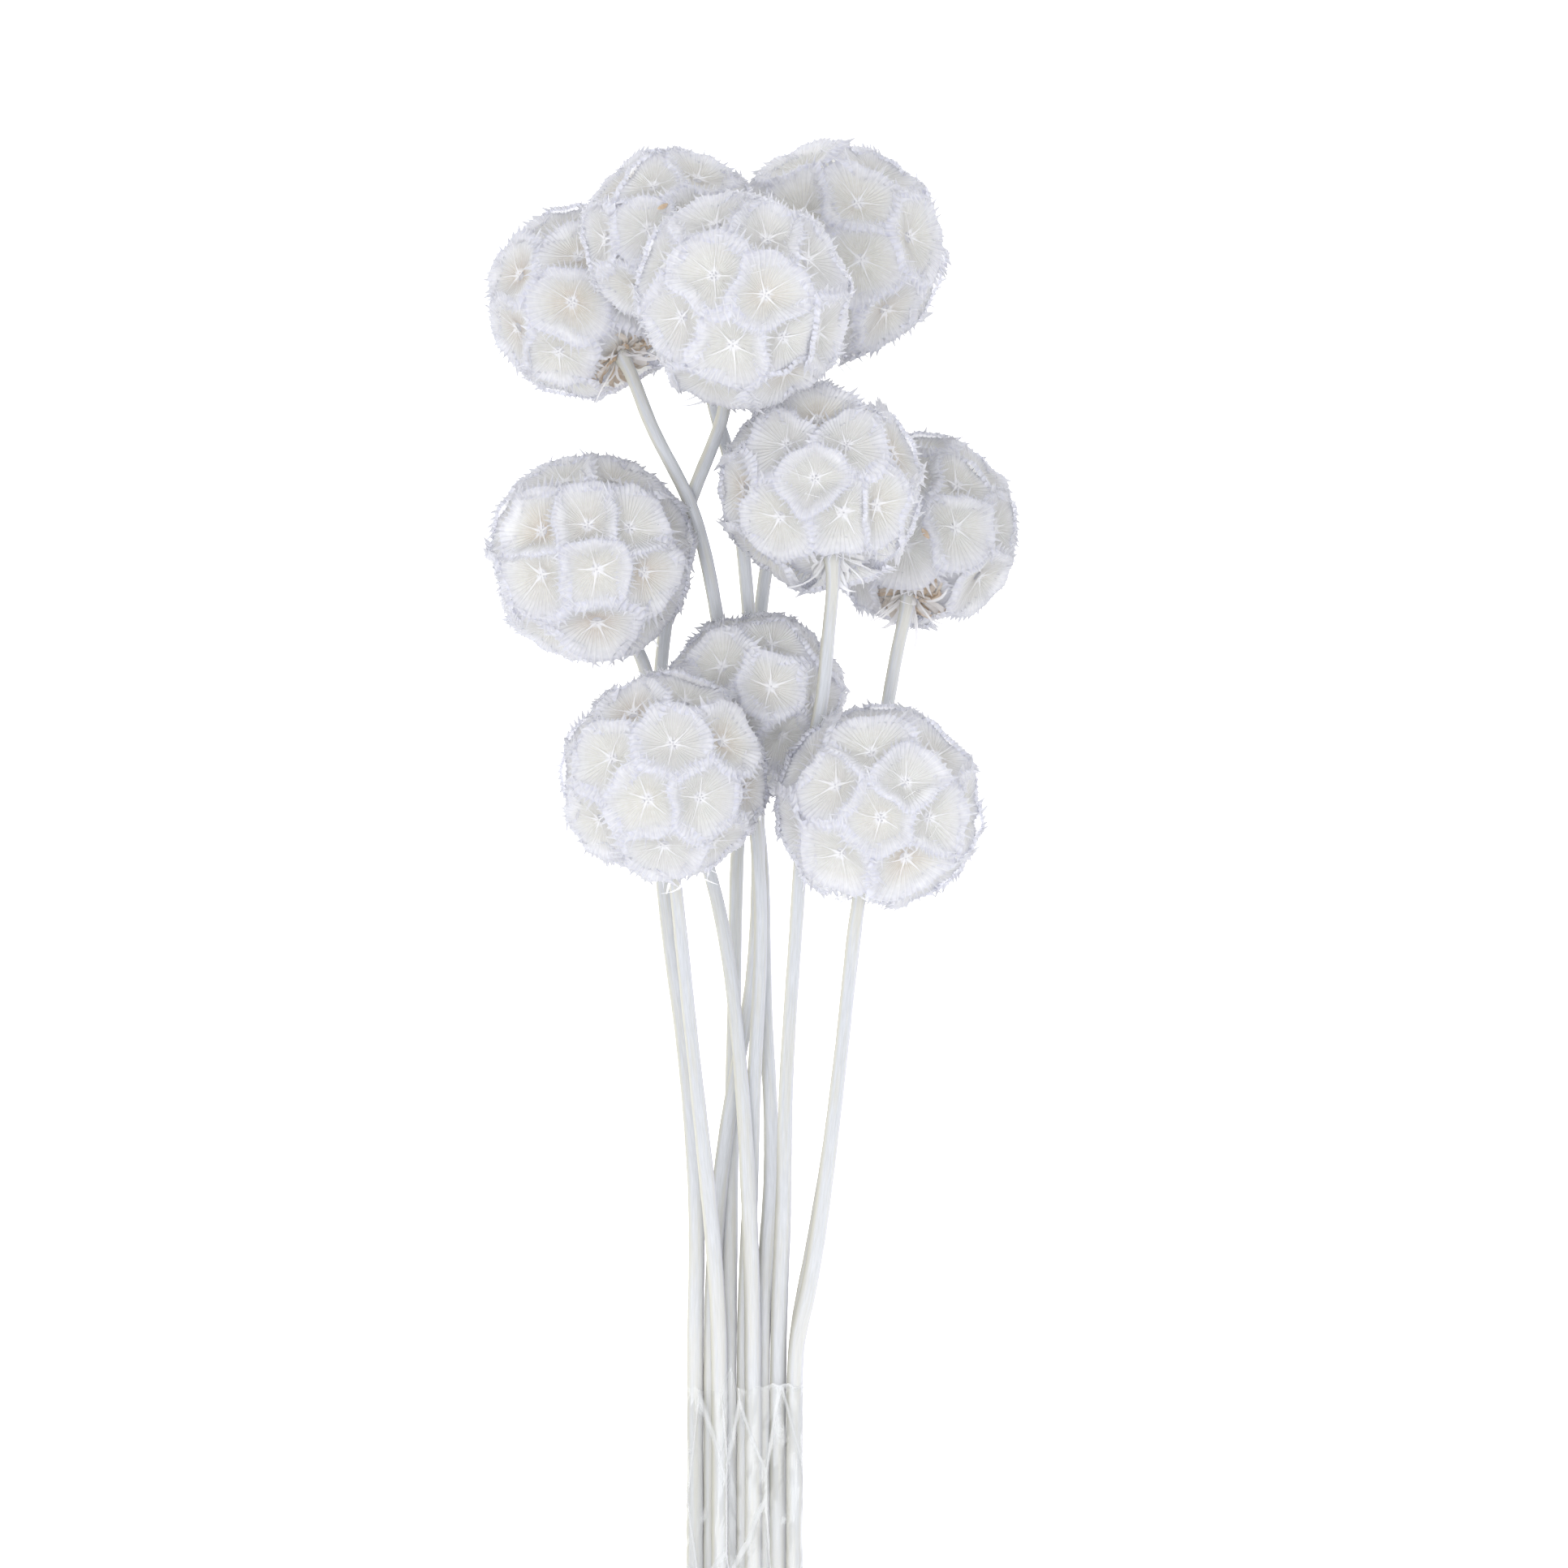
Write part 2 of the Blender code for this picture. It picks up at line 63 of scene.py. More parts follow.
# The same places as in the model: each head's middle, its radius, the way its top points, and where
# the bottoms of its front saucers lie, across and up from the middle. Of two saucers that overlap,
# the one listed first lies over the other. Faded is how brown a head's underside is, a shade-painted
# head is greyed all over with painted shade for the shadow it lies in, and a scrap is a dry yellow
# petal left on a head, across and up from its middle.
HEADS = {
    "head_01": {
        "middle": (-36.6, 163.2, 19.7),
        "radius": 21.2,
        "top": (-0.49, 0.68, -0.50),
        "rests": True,
        "faded": 1.0,
        "saucers": [(-2.3, -0.3), (-14.0, -5.5), (-1.0, 9.5), (-5.2, -10.6), (-13.5, 5.5)],
    },
    "head_02": {
        "middle": (-17.1, 176.4, 46.5),
        "radius": 19.8,
        "top": (-0.3, 0.85, 0.35),
        "scrap": (-2.2, 6.6),
        "saucers": [(-5.3, 1.8), (-8.0, -10.5), (5.2, 12.5), (-10.5, 11.0)],
    },
    "head_03": {
        "middle": (-2.0, 162.8, 78.0),
        "radius": 23.6,
        "top": (0.15, 0.80, 0.50),
        "saucers": [
            (4.6, 0.7), (-6.1, 4.7), (-2.1, -9.8), (4.9, 12.4), (-5.8, 15.6), (15.6, -7.0),
            (-12.8, -3.9), (13.5, 8.2), (8.8, -15.2),
        ],
    },
    "head_04": {
        "middle": (17.8, 174.0, 21.8),
        "radius": 24.1,
        "top": (0.20, 0.95, 0.10),
        "rests": True,
        "faded": 0.5,
        "saucers": [(15.7, 3.0), (4.7, 10.1), (10.7, -12.4), (5.4, -1.9), (-7.5, 18.0)],
    },
    "head_05": {
        "middle": (14.8, 122.7, 57.5),
        "radius": 22.4,
        "top": (-0.12, 0.75, -0.45),
        "saucers": [
            (-1.4, 1.7), (-8.8, -6.3), (5.2, 8.7), (11.5, -3.7), (4.5, -5.3), (-7.4, 8.7), (-0.7, 14.2),
        ],
    },
    "head_06": {
        "middle": (36.0, 114.0, 19.9),
        "radius": 21.4,
        "top": (0.13, 0.86, -0.49),
        "rests": True,
        "faded": 1.0,
        "shade_painted": True,
        "scrap": (1.2, -1.0),
        "saucers": [(7.5, 0.2), (12.0, 12.0), (12.5, -10.0), (-2.0, 11.0)],
    },
    "head_07": {
        "middle": (-34.9, 107.8, 46.0),
        "radius": 22.6,
        "top": (-0.40, 0.82, 0.40),
        "saucers": [
            (1.4, -2.6), (-0.5, 6.6), (1.4, -13.7), (-10.2, 5.4), (-10.2, -3.7),
            (8.2, 6.1), (11.2, -3.3), (-8.6, -15.9), (-5.4, 15.8), (5.0, 15.9),
        ],
    },
    "head_08": {
        "middle": (-0.1, 76.1, 42.0),
        "radius": 20.3,
        "top": (0.0, 0.90, 0.40),
        "saucers": [(3.9, 3.7), (-6.3, 7.9), (6.8, -7.2), (13.0, 10.0)],
    },
    "head_09": {
        "middle": (-19.2, 60.4, 70.0),
        "radius": 22.6,
        "top": (-0.10, 0.90, 0.40),
        "saucers": [
            (2.1, 7.0), (7.7, -4.2), (-3.2, -4.6), (12.4, 7.5),
            (-10.7, 4.0), (0.2, -14.2), (-6.3, 13.5), (-13.3, -8.9),
        ],
    },
    "head_10": {
        "middle": (27.2, 54.2, 66.5),
        "radius": 22.4,
        "top": (0.22, 0.97, 0.05),
        "saucers": [
            (5.4, 5.1), (0.2, -2.4), (-1.8, 11.4), (10.3, -2.4), (-9.1, 4.4), (-8.1, -9.8), (5.4, -10.7),
        ],
    },
}

# The middle line of each stem between its head and the film, then its column and layer in the film.
STEMS = {
    "stem_01": {
        "route": [
            (-22.5, 136.5, 37.5), (-14.0, 121.5, 41.0), (-10.2, 108.5, 37.5), (-7.6, 94.5, 29.0),
            (-5.4, 79.0, 19.5), (-1.2, 62.0, 13.5), (2.0, 45.0, 11.0), (2.6, 12.0, 9.5), (4.2, -24.0, 6.0),
        ],
        "slot": (4, 0),
    },
    "stem_02": {
        "route": [
            (-8.9, 140.5, 37.5), (-4.4, 128.5, 33.5), (-1.8, 107.0, 27.0), (0.4, 79.0, 18.8),
            (1.2, 50.0, 15.4), (0.5, 20.0, 13.6), (-5.2, -12.0, 8.8), (-8.0, -36.0, 5.2),
        ],
        "slot": (1, 0),
    },
    "stem_03": {
        "route": [
            (-6.8, 136.0, 49.5), (-13.6, 120.5, 34.5), (-16.8, 106.0, 28.0), (-19.4, 90.0, 23.0),
            (-20.6, 70.0, 19.0), (-19.4, 36.0, 14.0), (-14.8, 0.0, 9.0), (-12.3, -32.0, 4.8),
        ],
        "slot": (0, 0),
    },
    "stem_04": {
        "route": [
            (12.0, 140.0, 19.5), (5.0, 118.0, 17.5), (1.8, 98.0, 14.5), (-0.6, 74.0, 10.6),
            (-3.4, 48.0, 8.2), (-3.9, 18.0, 6.4), (-4.6, -12.0, 4.2),
        ],
        "slot": (2, 0),
    },
    "stem_05": {
        "route": [
            (16.2, 92.0, 62.0), (15.0, 76.0, 57.6), (11.2, 60.0, 50.6), (10.4, 44.0, 45.0),
            (8.8, 20.0, 36.0), (7.2, -4.0, 25.0), (6.6, -34.0, 11.5),
        ],
        "slot": (5, 0),
    },
    "stem_06": {
        "route": [
            (31.6, 90.0, 30.0), (29.1, 76.0, 27.0), (25.0, 50.0, 21.0), (20.6, 14.0, 15.5),
            (17.0, -18.0, 10.5), (12.4, -46.0, 5.6),
        ],
        "slot": (6, 0),
    },
    "stem_07": {
        "route": [
            (-23.6, 85.6, 35.5), (-20.6, 74.0, 32.5), (-16.4, 60.0, 29.5), (-8.4, 38.0, 24.5),
            (-4.2, 14.0, 19.5), (-1.6, -16.0, 15.0), (-0.3, -44.0, 10.0),
        ],
        "slot": (3.5, 1),
    },
    "stem_08": {
        "route": [
            (0.2, 54.0, 31.0), (1.8, 34.0, 24.0), (1.4, 14.0, 19.0), (0.2, -6.0, 13.2), (-0.4, -28.0, 7.4),
        ],
        "slot": (3, 0),
    },
    "stem_09": {
        "route": [
            (-16.2, 34.0, 55.0), (-13.6, 8.0, 40.0), (-10.8, -18.0, 25.5), (-8.2, -44.0, 12.0),
        ],
        "slot": (1.5, 1),
    },
    "stem_10": {
        "route": [
            (20.8, 18.0, 52.0), (17.9, -9.0, 36.5), (14.9, -34.0, 21.0), (11.7, -53.0, 11.0),
        ],
        "slot": (6, 1),
    },
}

# How the saucers are spread over a head, as in the model.
SAUCERS_PER_HEAD = 25
DISH_HEIGHT = 0.79
NECK_HEIGHT = 0.74
LATTICE_POINTS = 700
NECK_CLEARING = math.radians(12)
NECK_WEIGHT = 1.8
SPREAD_ROUNDS = 60
SPREAD_STEP = 0.004
LEAST_FACING = 0.2

# A saucer: a papery sheet on ribs, from its foot out to a toothed rim. Angles are counted from its
# axis, and a rim reaches past the middle between two saucers, over one neighbour and under another.
RIBS = (38, 46)
RIB_SHARE = 0.2
SHEET_STEPS = (0, 0.1, 0.22, 0.36, 0.5, 0.63, 0.75, 0.85, 0.93, 1)
SHOULDER = 0.85
DISH_SLOPE = 0.28
DISH_CURVE = 1.9
ROLL_OVER = 0.035
TOOTH_REACH = (0.02, 0.18)
TOOTH_FLARE = 0.5
PLEAT_DEPTH = 0.013
PLEAT_LEVEL = 0.3
FOOT_ANGLE = math.radians(3.6)
FOOT_HEIGHT = 0.79
RIM_HEIGHT = (0.975, 1.01)
RIM_TILT = 0.014
RIM_WAVE = 0.014
RIM_WAVES = (2, 3, 5, 9)
SAUCER_REACH = (math.radians(28), math.radians(32.5))
REACH_OVER = 1.2
REACH_UNDER = 1.16
REACH_WAVE = 0.06
REACH_WAVES = (3, 4, 7)
CORNER_ROUNDING = 11
USUAL_REACH = math.radians(26.5)
USUAL_RIM = 0.98
CLEAR_UNDER = 0.008

# How a sheet is tinted, in shares of the way out: the fuzz starts part of the way, the brown ends
# part of the way, and the cream fades to nothing at the rim. Few saucers have much brown.
FUZZ_START = 0.52
FUZZ_SPREAD = 0.45
FUZZ_OFF_RIBS = 0.7
BROWN_END = 0.6
BROWN_OFF_RIBS = 0.8
BROWN_MOST = 0.45
BROWN_RARITY = 4
CREAM_FALL = 1.5
CREAM_SHARE = (0.3, 1)

# The star in the middle of a saucer: five awns in a ruff of short hairs.
AWNS = 5
AWN_STEPS = (0, 0.07, 0.15, 0.26, 0.45, 0.7, 1)
AWN_START = 0.02
AWN_REACH = (0.5, 1.0)
AWN_FOOT_HEIGHT = 0.815
AWN_TIP_HEIGHT = (0.94, 0.99)
AWN_RISE = 1.15
AWN_FOOT_WIDTH = (0.5, 1.0)
AWN_TIP_WIDTH = 0.1
AWN_TAPER = 3.6
AWN_BEND = 0.25
AWN_FOLD = 0.25
RUFF_HAIRS = 80
RUFF_ANGLE = math.radians(2.6)
RUFF_LENGTH = (0.6, 1.5)
RUFF_LIFT = 0.5

# The fine hairs in a band along a rim. Those further in are shorter and lie flatter. They lean
# outward, along the rim and upward by chance.
HAIRS_PER_SAUCER = 600
HAIR_LENGTH = (0.25, 0.8)
HAIR_WIDTH = 0.09
HAIR_CROWDING = 1.5
HAIR_EDGE = 1.02
HAIR_BAND = 0.2
HAIR_LIFT = 0.01
HAIR_STRETCH = 1.3
HAIR_SHORTER = 0.6
HAIR_UPRIGHT = 0.65
HAIR_FLATTER = 0.45
HAIR_LEAN = (0.25, 0.35, 0.3)

# The inside of a head, and the bare underside round the stem, with fluted columns, hooked bracts and
# shrivelled florets on a ribbed floor. Tip angles are in degrees.
CORE_HEIGHT = 0.77
CORE_ROWS = 20
POLE_HOLE = 0.001
NECK_FOOT_ANGLE = math.radians(4)
NECK_FLOOR = 0.78
NECK_RIM_HEIGHT = 0.84
NECK_RIBS = 40
NECK_PLEAT = 0.02
NECK_CREAM = 0.5
NECK_BROWN = 0.5
LEAF_STEPS = np.linspace(0, 1, 10)
LEAF_RISE = 0.75
COLUMNS_ROUND_NECK = 13
COLUMN_TIP_ANGLE = (11, 25)
COLUMN_TIP_HEIGHT = (0.84, 0.92)
COLUMN_BEND = 0.5
COLUMN_STRAY = 0.45
COLUMN_WIDTH = (0.7, 1.8)
COLUMN_FOOT = 0.5
COLUMN_FOLD = 0.35
BRACTS = 12
BRACT_TIP_ANGLE = (14, 34)
BRACT_TIP_HEIGHT = (0.97, 1.18)
BRACT_HOOK = (-0.16, 0.12)
BRACT_BEND = 1.1
BRACT_STRAY = 0.35
BRACT_WIDTH = (0.6, 1.4)
BRACT_FOOT = 0.55
BRACT_WIDENING = 1.2
BRACT_TAPER = 0.8
BRACT_TIP_WIDTH = 0.25
BRACT_FOLD = -0.25
FLORETS = 26
FLORET_TIP_ANGLE = (13, 33)
FLORET_TIP_HEIGHT = (0.84, 0.93)
FLORET_BEND = 0.4
FLORET_SHRIVEL = 0.012
FLORET_WIDTH = (1.0, 2.2)
FLORET_FOOT = 0.4
FLORET_TAPER = 0.5
FLORET_FOLD = 0.3
FLORET_BROWN = (0.25, 0.8)

SCRAP_STEPS = 7
SCRAP_LENGTH = 2.6
SCRAP_WIDTH = 1.2
SCRAP_END = 0.08
SCRAP_HEIGHT = 0.98
SCRAP_CURL = 0.05
SCRAP_TURN = 2.2
SCRAP_FOLD = 0.3

# How much rib, fuzz, tan and cream the small pieces show.
AWN_MARK = (0.85, 0.1, 0.0, 0.0)
RUFF_MARK = (0.8, 0.1, 0.0, 0.0)
HAIR_MARK = (0.45, 0.8, 0.0, 0.0)
CORE_MARK = (0.0, 0.6, 0.0, 0.4)
COLUMN_MARK = (0.4, 0.35, 0.15, 0.5)
BRACT_MARK = (0.75, 0.25, 0.05, 0.0)
FLORET_MARK = (0.1, 0.0, 1.0, 0.4)
SCRAP_MARK = (0.0, 0.0, 0.75, 1.0)

# A stem, from just inside its head to its cut end. It swells on its way into the film.
STEM_SEED = 100
STEM_TOP_RADIUS = 1.45
STEM_FOOT_RADIUS = 1.65
NECK_LEAD = 3.0
STRAIGHT_LEAD = 8.0
CUT_END = -197.6
CUT_STEP = 2.2
CUT_LENGTHS = 3
CAD_STEPS = 2
STEM_STEPS = 7
STEM_SIDES = 20
STRAIGHT_STEP = 3.0
SMOOTHING_ROUNDS = 14
SUNK_IN_HEAD = 1.2
STEM_FLARE = 0.75
FLARE_LENGTH = 3.5
STEM_RIDGES = 7
RIDGE_DEPTH = 0.035
RIDGE_TWIST = 0.006
UNEVENNESS = 0.013
UNEVEN_LENGTHS = (47.0, 19.0, 7.0)
SWELL = 0.16
SWELL_TOP = 0.0
SWELL_LENGTH = 38.0

# The film, its folds, and its cut upper edge, which is wavy and has a tongue. Its fold crests and
# hem carry painted highlights, the hem's strongest at the right. A wave of the edge is given by its
# height and how fast it turns across the film.
SLEEVE_TOP = -72.0
SLEEVE_FOOT = -168.0
SLEEVE_WALL = 0.6
SLEEVE_X = -1.75
COLUMNS = 7
COLUMN_PITCH = 2 * STEM_FOOT_RADIUS + GAP
LAYER_RISE = 3.65
TOP_LAYER_FIRST = 1.5
TOP_LAYER_LAST = 6
SHOULDER_STEPS = 7
SECTION_STEP = 1.2
FILM_SEED = 7
FILM_ROWS = 70
FILM_LEAST_HEIGHT = 0.05
FOLDS = 7
FOLD_TURNS = (2, 9)
FOLD_LEAN = 6
FOLD_DEPTH = 0.45
FOLD_HIGHLIGHT = 0.45
FOLD_HIGHLIGHT_FROM = 0.8
FOLD_HIGHLIGHT_EDGE = 6
HEM_HIGHLIGHT = 0.5
HEM_LEAST = 0.2
HEM_START = 2.0
HEM_SPREAD = 4.0
EDGE_WAVES = ((0.9, TURN / 25), (0.4, 1.9))
TONGUE_HEIGHT = 6.5
TONGUE_X = -5.1
TONGUE_WIDTH = 1.1

# Colours as they look on screen, 0 to 255. The grain of a surface mixes the two of a pair.
GREY_SHEET = ((234, 234, 232), (225, 225, 225))
CREAM_SHEET = ((235, 234, 226), (243, 243, 238))
RIB_WHITE = (252, 252, 254)
FUZZ = ((224, 225, 236), (243, 244, 251))
BROWN = ((196, 160, 118), (222, 198, 166))
# Painted shade: the grey that darkens a whole head lying in shadow.
PAINTED_SHADE_GREY = (182, 183, 188)
STALK = ((181, 184, 189), (195, 198, 204))
STALK_AGED = (192, 188, 170)
# Painted light: the paler colour that lifts the shade on the stalks' lower ends in the bundle.
STALK_PAINTED_LIGHT = (236, 236, 236)
# Painted shade on the stalks' sides: yellow-grey on the left, bluish on the right.
STALK_LEFT_SHADE = (191, 189, 176)
STALK_RIGHT_SHADE = (194, 195, 205)
FILM_SHINE = (250, 252, 255)
FILM_CLEAR = (250, 250, 249)
# Painted highlight: the white of the film's creases and hem.
FILM_HIGHLIGHT_WHITE = (214, 216, 219)
TABLE_WHITE = (252, 252, 252)

# How fine the grain is, and how strong those colours are: the painted shade that greys a head in
# shadow, the light through paper, the stalks' aged patches, the painted light that makes their lower
# ends paler, and the painted highlights on the film's creases.
BROAD_GRAIN = 90.0
FINE_GRAIN = 900.0
FUZZY_GRAIN = 1400.0
GRAIN_DEPTH = 0.0002
DRAWN_OUT = 0.03
PAINTED_SHADE_STRENGTH = 0.14
LET_THROUGH = 0.5
AGEING = 0.45
PAINTED_LIGHTENING = 0.22
LOWER_STALKS = (0.0, -60.0)
CREASE_HIGHLIGHT = 0.45
CREASE_LEAN = 0.16
CREASES_PER_METRE = (150, 26, 60)

FLOOR_SIZE = 60
FLOOR_GLOW = 0.85
ROOM_TINT = (0.99, 0.99, 0.995, 1)
ROOM_LIGHT = 0.77
LIT_POINT = (0, 0.06, 0.04)
SOFT_KEY = {"place": (-0.2, -0.1, 1.7), "size": 1.1, "power": 21.3}
SOFT_FILL = {"place": (0.7, 0.0, 1.4), "size": 1.2, "power": 3.0}

# The photograph's scale, and the point of the frame's middle. The lens is long, so the view is
# nearly parallel.
MM_PER_PIXEL = 0.175
FRAME_PIXELS = 1932
FRAME_MIDDLE = (6.74, 58.98)
VIEW_HEIGHT = 6000.0
MIDDLE_HEIGHT = 40.0
SENSOR = 36.0
FARTHEST_SEEN = 100


def unit(values):
    values = np.asarray(values, float)
    return values / np.linalg.norm(values, axis=-1, keepdims=True)


class Growth:
    """Points and faces that are gathered into one mesh, with the marks that its material reads."""

    def __init__(self, *mark_names):
        self.mark_names = mark_names
        self.points, self.marks, self.faces, self.total = [], [], [], 0

    def add(self, points, faces, marks):
        points = np.reshape(points, (-1, 3))
        self.points.append(points)
        self.marks.append(np.reshape(marks, (len(points), len(self.mark_names))))
        self.faces += (np.asarray(faces) + self.total).tolist()
        self.total += len(points)

    def add_grid(self, points, marks, closed):
        """Rows of points, each joined to the next row, and round to its own start if closed."""
        rows, columns = points.shape[:2]
        index = np.arange(rows * columns).reshape(rows, columns)
        if closed:
            index = np.concatenate([index, index[:, :1]], axis=1)
        corners = (index[:-1, :-1], index[:-1, 1:], index[1:, 1:], index[1:, :-1])
        self.add(points, np.stack(corners, axis=-1).reshape(-1, 4), marks)

    def piece(self, name, finish, place):
        """The mesh as an object, with its points put where place says, in millimetres."""
        mesh = bpy.data.meshes.new(name)
        mesh.from_pydata((place(np.concatenate(self.points)) * MM).tolist(), [], self.faces)
        marks = np.concatenate(self.marks)
        for column, mark_name in enumerate(self.mark_names):
            attribute = mesh.attributes.new(mark_name, "FLOAT", "POINT")
            attribute.data.foreach_set("value", np.ascontiguousarray(marks[:, column], np.float32))
        mesh.shade_smooth()
        mesh.materials.append(finish)
        made = bpy.data.objects.new(name, mesh)
        bpy.context.scene.collection.objects.link(made)
        return made


def sphere_lattice(count):
    """Evenly spread directions, on a spiral from pole to pole."""
    index = np.arange(count) + 0.5
    height = 1 - 2 * index / count
    turn = index * math.pi * (3 - math.sqrt(5))
    across = np.sqrt(1 - height**2)
    return np.stack([across * np.cos(turn), across * np.sin(turn), height], axis=1)


def saucer_directions(head):
    """Directions of the neck and of the saucers: the front ones as listed, the rest spread evenly."""
    depth = DISH_HEIGHT * head["radius"]
    directions = [-unit(head["top"])]
    for across, up in head["saucers"]:
        toward = math.sqrt(max(depth**2 - across**2 - up**2, (LEAST_FACING * depth) ** 2))
        directions.append(unit((across, up, toward)))
    if head.get("rests"):
        directions.append(np.array((0.0, 0.0, -1.0)))
    kept = len(directions)
    lattice = sphere_lattice(LATTICE_POINTS)
    while len(directions) < SAUCERS_PER_HEAD + 1:
        angles = np.arccos(np.clip(lattice @ np.array(directions).T, -1, 1))
        angles[:, 0] -= NECK_CLEARING
        directions.append(lattice[angles.min(axis=1).argmax()])
    directions = np.array(directions)
    weight = np.ones(len(directions))
    weight[0] = NECK_WEIGHT
    for _ in range(SPREAD_ROUNDS):
        apart = directions[kept:, None] - directions[None]
        distance = np.linalg.norm(apart, axis=2)
        distance[distance < 1e-6] = np.inf
        push = (apart * (weight / distance**4)[:, :, None]).sum(axis=1)
        moved = directions[kept:] + SPREAD_STEP * push
        directions[kept:] = moved / np.linalg.norm(moved, axis=1)[:, None]
    return directions


def nearest_on(line, point):
    """The point of a line of points that is nearest to a point."""
    best = None
    for start, end in zip(line[:-1], line[1:]):
        along = np.clip((point - start) @ (end - start) / ((end - start) @ (end - start)), 0, 1)
        found = start + along * (end - start)
        if best is None or np.linalg.norm(found - point) < np.linalg.norm(best - point):
            best = found
    return best


def planes_pressing(name):
    """The planes that flatten a head where another head or a stem presses on it."""
    head = HEADS[name]
    middle, radius = np.array(head["middle"]), head["radius"]
    planes = []
    for other_name, other in HEADS.items():
        across = np.array(other["middle"]) - middle
        distance = np.linalg.norm(across)
        if other_name != name and distance < radius + other["radius"] + GAP:
            to_plane = (distance**2 + radius**2 - other["radius"] ** 2) / (2 * distance)
            planes.append((across / distance, to_plane - GAP / 2))
    for stem_name in STEMS:
        if stem_name[-2:] == name[-2:]:
            continue
        across = nearest_on(stem_line(stem_name, CAD_STEPS), middle) - middle
        distance = np.linalg.norm(across)
        if distance < radius + STEM_FOOT_RADIUS + GAP:
            planes.append((across / distance, distance - STEM_FOOT_RADIUS - GAP))
    return planes


def head_place(name):
    """How a head's own points are put in the model: pressed by its neighbours and by the surface."""
    head = HEADS[name]
    planes = planes_pressing(name)

    def place(scaled):
        directions = unit(scaled)
        reach = np.full(len(scaled), float(head["radius"]))
        for normal, distance in planes:
            facing = np.maximum(directions @ normal, 1e-6)
            reach = np.minimum(reach, distance / facing)
        points = np.array(head["middle"]) + scaled * reach[:, None]
        points[:, 2] = np.maximum(points[:, 2], 0)
        return points

    return place


def azimuth_frame(axis):
    """Two directions square to an axis and to each other, from which azimuths round it are counted."""
    side = unit(np.cross(axis, np.eye(3)[np.abs(axis).argmin()]))
    return side, np.cross(axis, side)


class Round:
    """Points round an axis of a head, given by azimuth, angle from the axis and height."""

    def __init__(self, axis):
        self.axis = axis
        self.side, self.other = azimuth_frame(axis)

    def outward(self, azimuth):
        azimuth = np.asarray(azimuth)[..., None]
        return np.cos(azimuth) * self.side + np.sin(azimuth) * self.other

    def along(self, azimuth):
        """The way in which the azimuth grows."""
        azimuth = np.asarray(azimuth)[..., None]
        return np.cos(azimuth) * self.other - np.sin(azimuth) * self.side

    def point(self, azimuth, angle, height):
        angle = np.asarray(angle)[..., None]
        direction = np.cos(angle) * self.axis + np.sin(angle) * self.outward(azimuth)
        return direction * np.asarray(height)[..., None]

    def slope(self, azimuth, angle):
        """The way in which the angle from the axis grows."""
        angle = np.asarray(angle)[..., None]
        return np.cos(angle) * self.outward(azimuth) - np.sin(angle) * self.axis


def waves(azimuth, turns, draw):
    """An uneven wave round a rim, of about 1 at most."""
    return sum(np.sin(k * azimuth + draw.random() * TURN) / len(turns) ** 0.5 for k in turns)


def rib_azimuths(ribs, turn):
    """Three azimuths for each rib, its two sides and its crest, and which of them are crests."""
    places = np.arange(ribs)[:, None] + np.array((-RIB_SHARE, 0, RIB_SHARE))
    return turn + places.ravel() / ribs * TURN, np.tile((0.0, 1.0, 0.0), ribs)


def rim_reach(place_round, azimuth, others, over, widest):
    """How far a rim reaches at each azimuth: a circle, held in by the neighbours on each side.
    Also how much it lies over the neighbour there, from 0 to 1."""
    closeness = 1 - others @ place_round.axis
    limits = np.arctan2(closeness, place_round.outward(azimuth) @ others.T)
    limits = limits * np.where(over, REACH_OVER, REACH_UNDER)
    nearness = limits**-CORNER_ROUNDING
    lies_over = (nearness * over).sum(axis=1) / nearness.sum(axis=1)
    limits = np.column_stack([limits, np.full(len(azimuth), widest)])
    return (limits**-CORNER_ROUNDING).sum(axis=1) ** (-1 / CORNER_ROUNDING), lies_over


def dish(share):
    """How far up a sheet is at a share of the way from its foot to its rim."""
    risen = np.minimum(np.asarray(share) / SHOULDER, 1)
    return DISH_SLOPE * risen + (1 - DISH_SLOPE) * risen**DISH_CURVE


def kept_under(directions, height, above):
    """Heights of a sheet, kept below the sheets of the saucers that lie over it."""
    share = np.arccos(np.clip(directions @ above.T, -1, 1)) / USUAL_REACH
    ceiling = FOOT_HEIGHT + (USUAL_RIM - FOOT_HEIGHT) * dish(share) - CLEAR_UNDER
    ceiling = np.where(share < 1, ceiling, np.inf)
    return np.minimum(height, ceiling.min(axis=1, initial=np.inf))


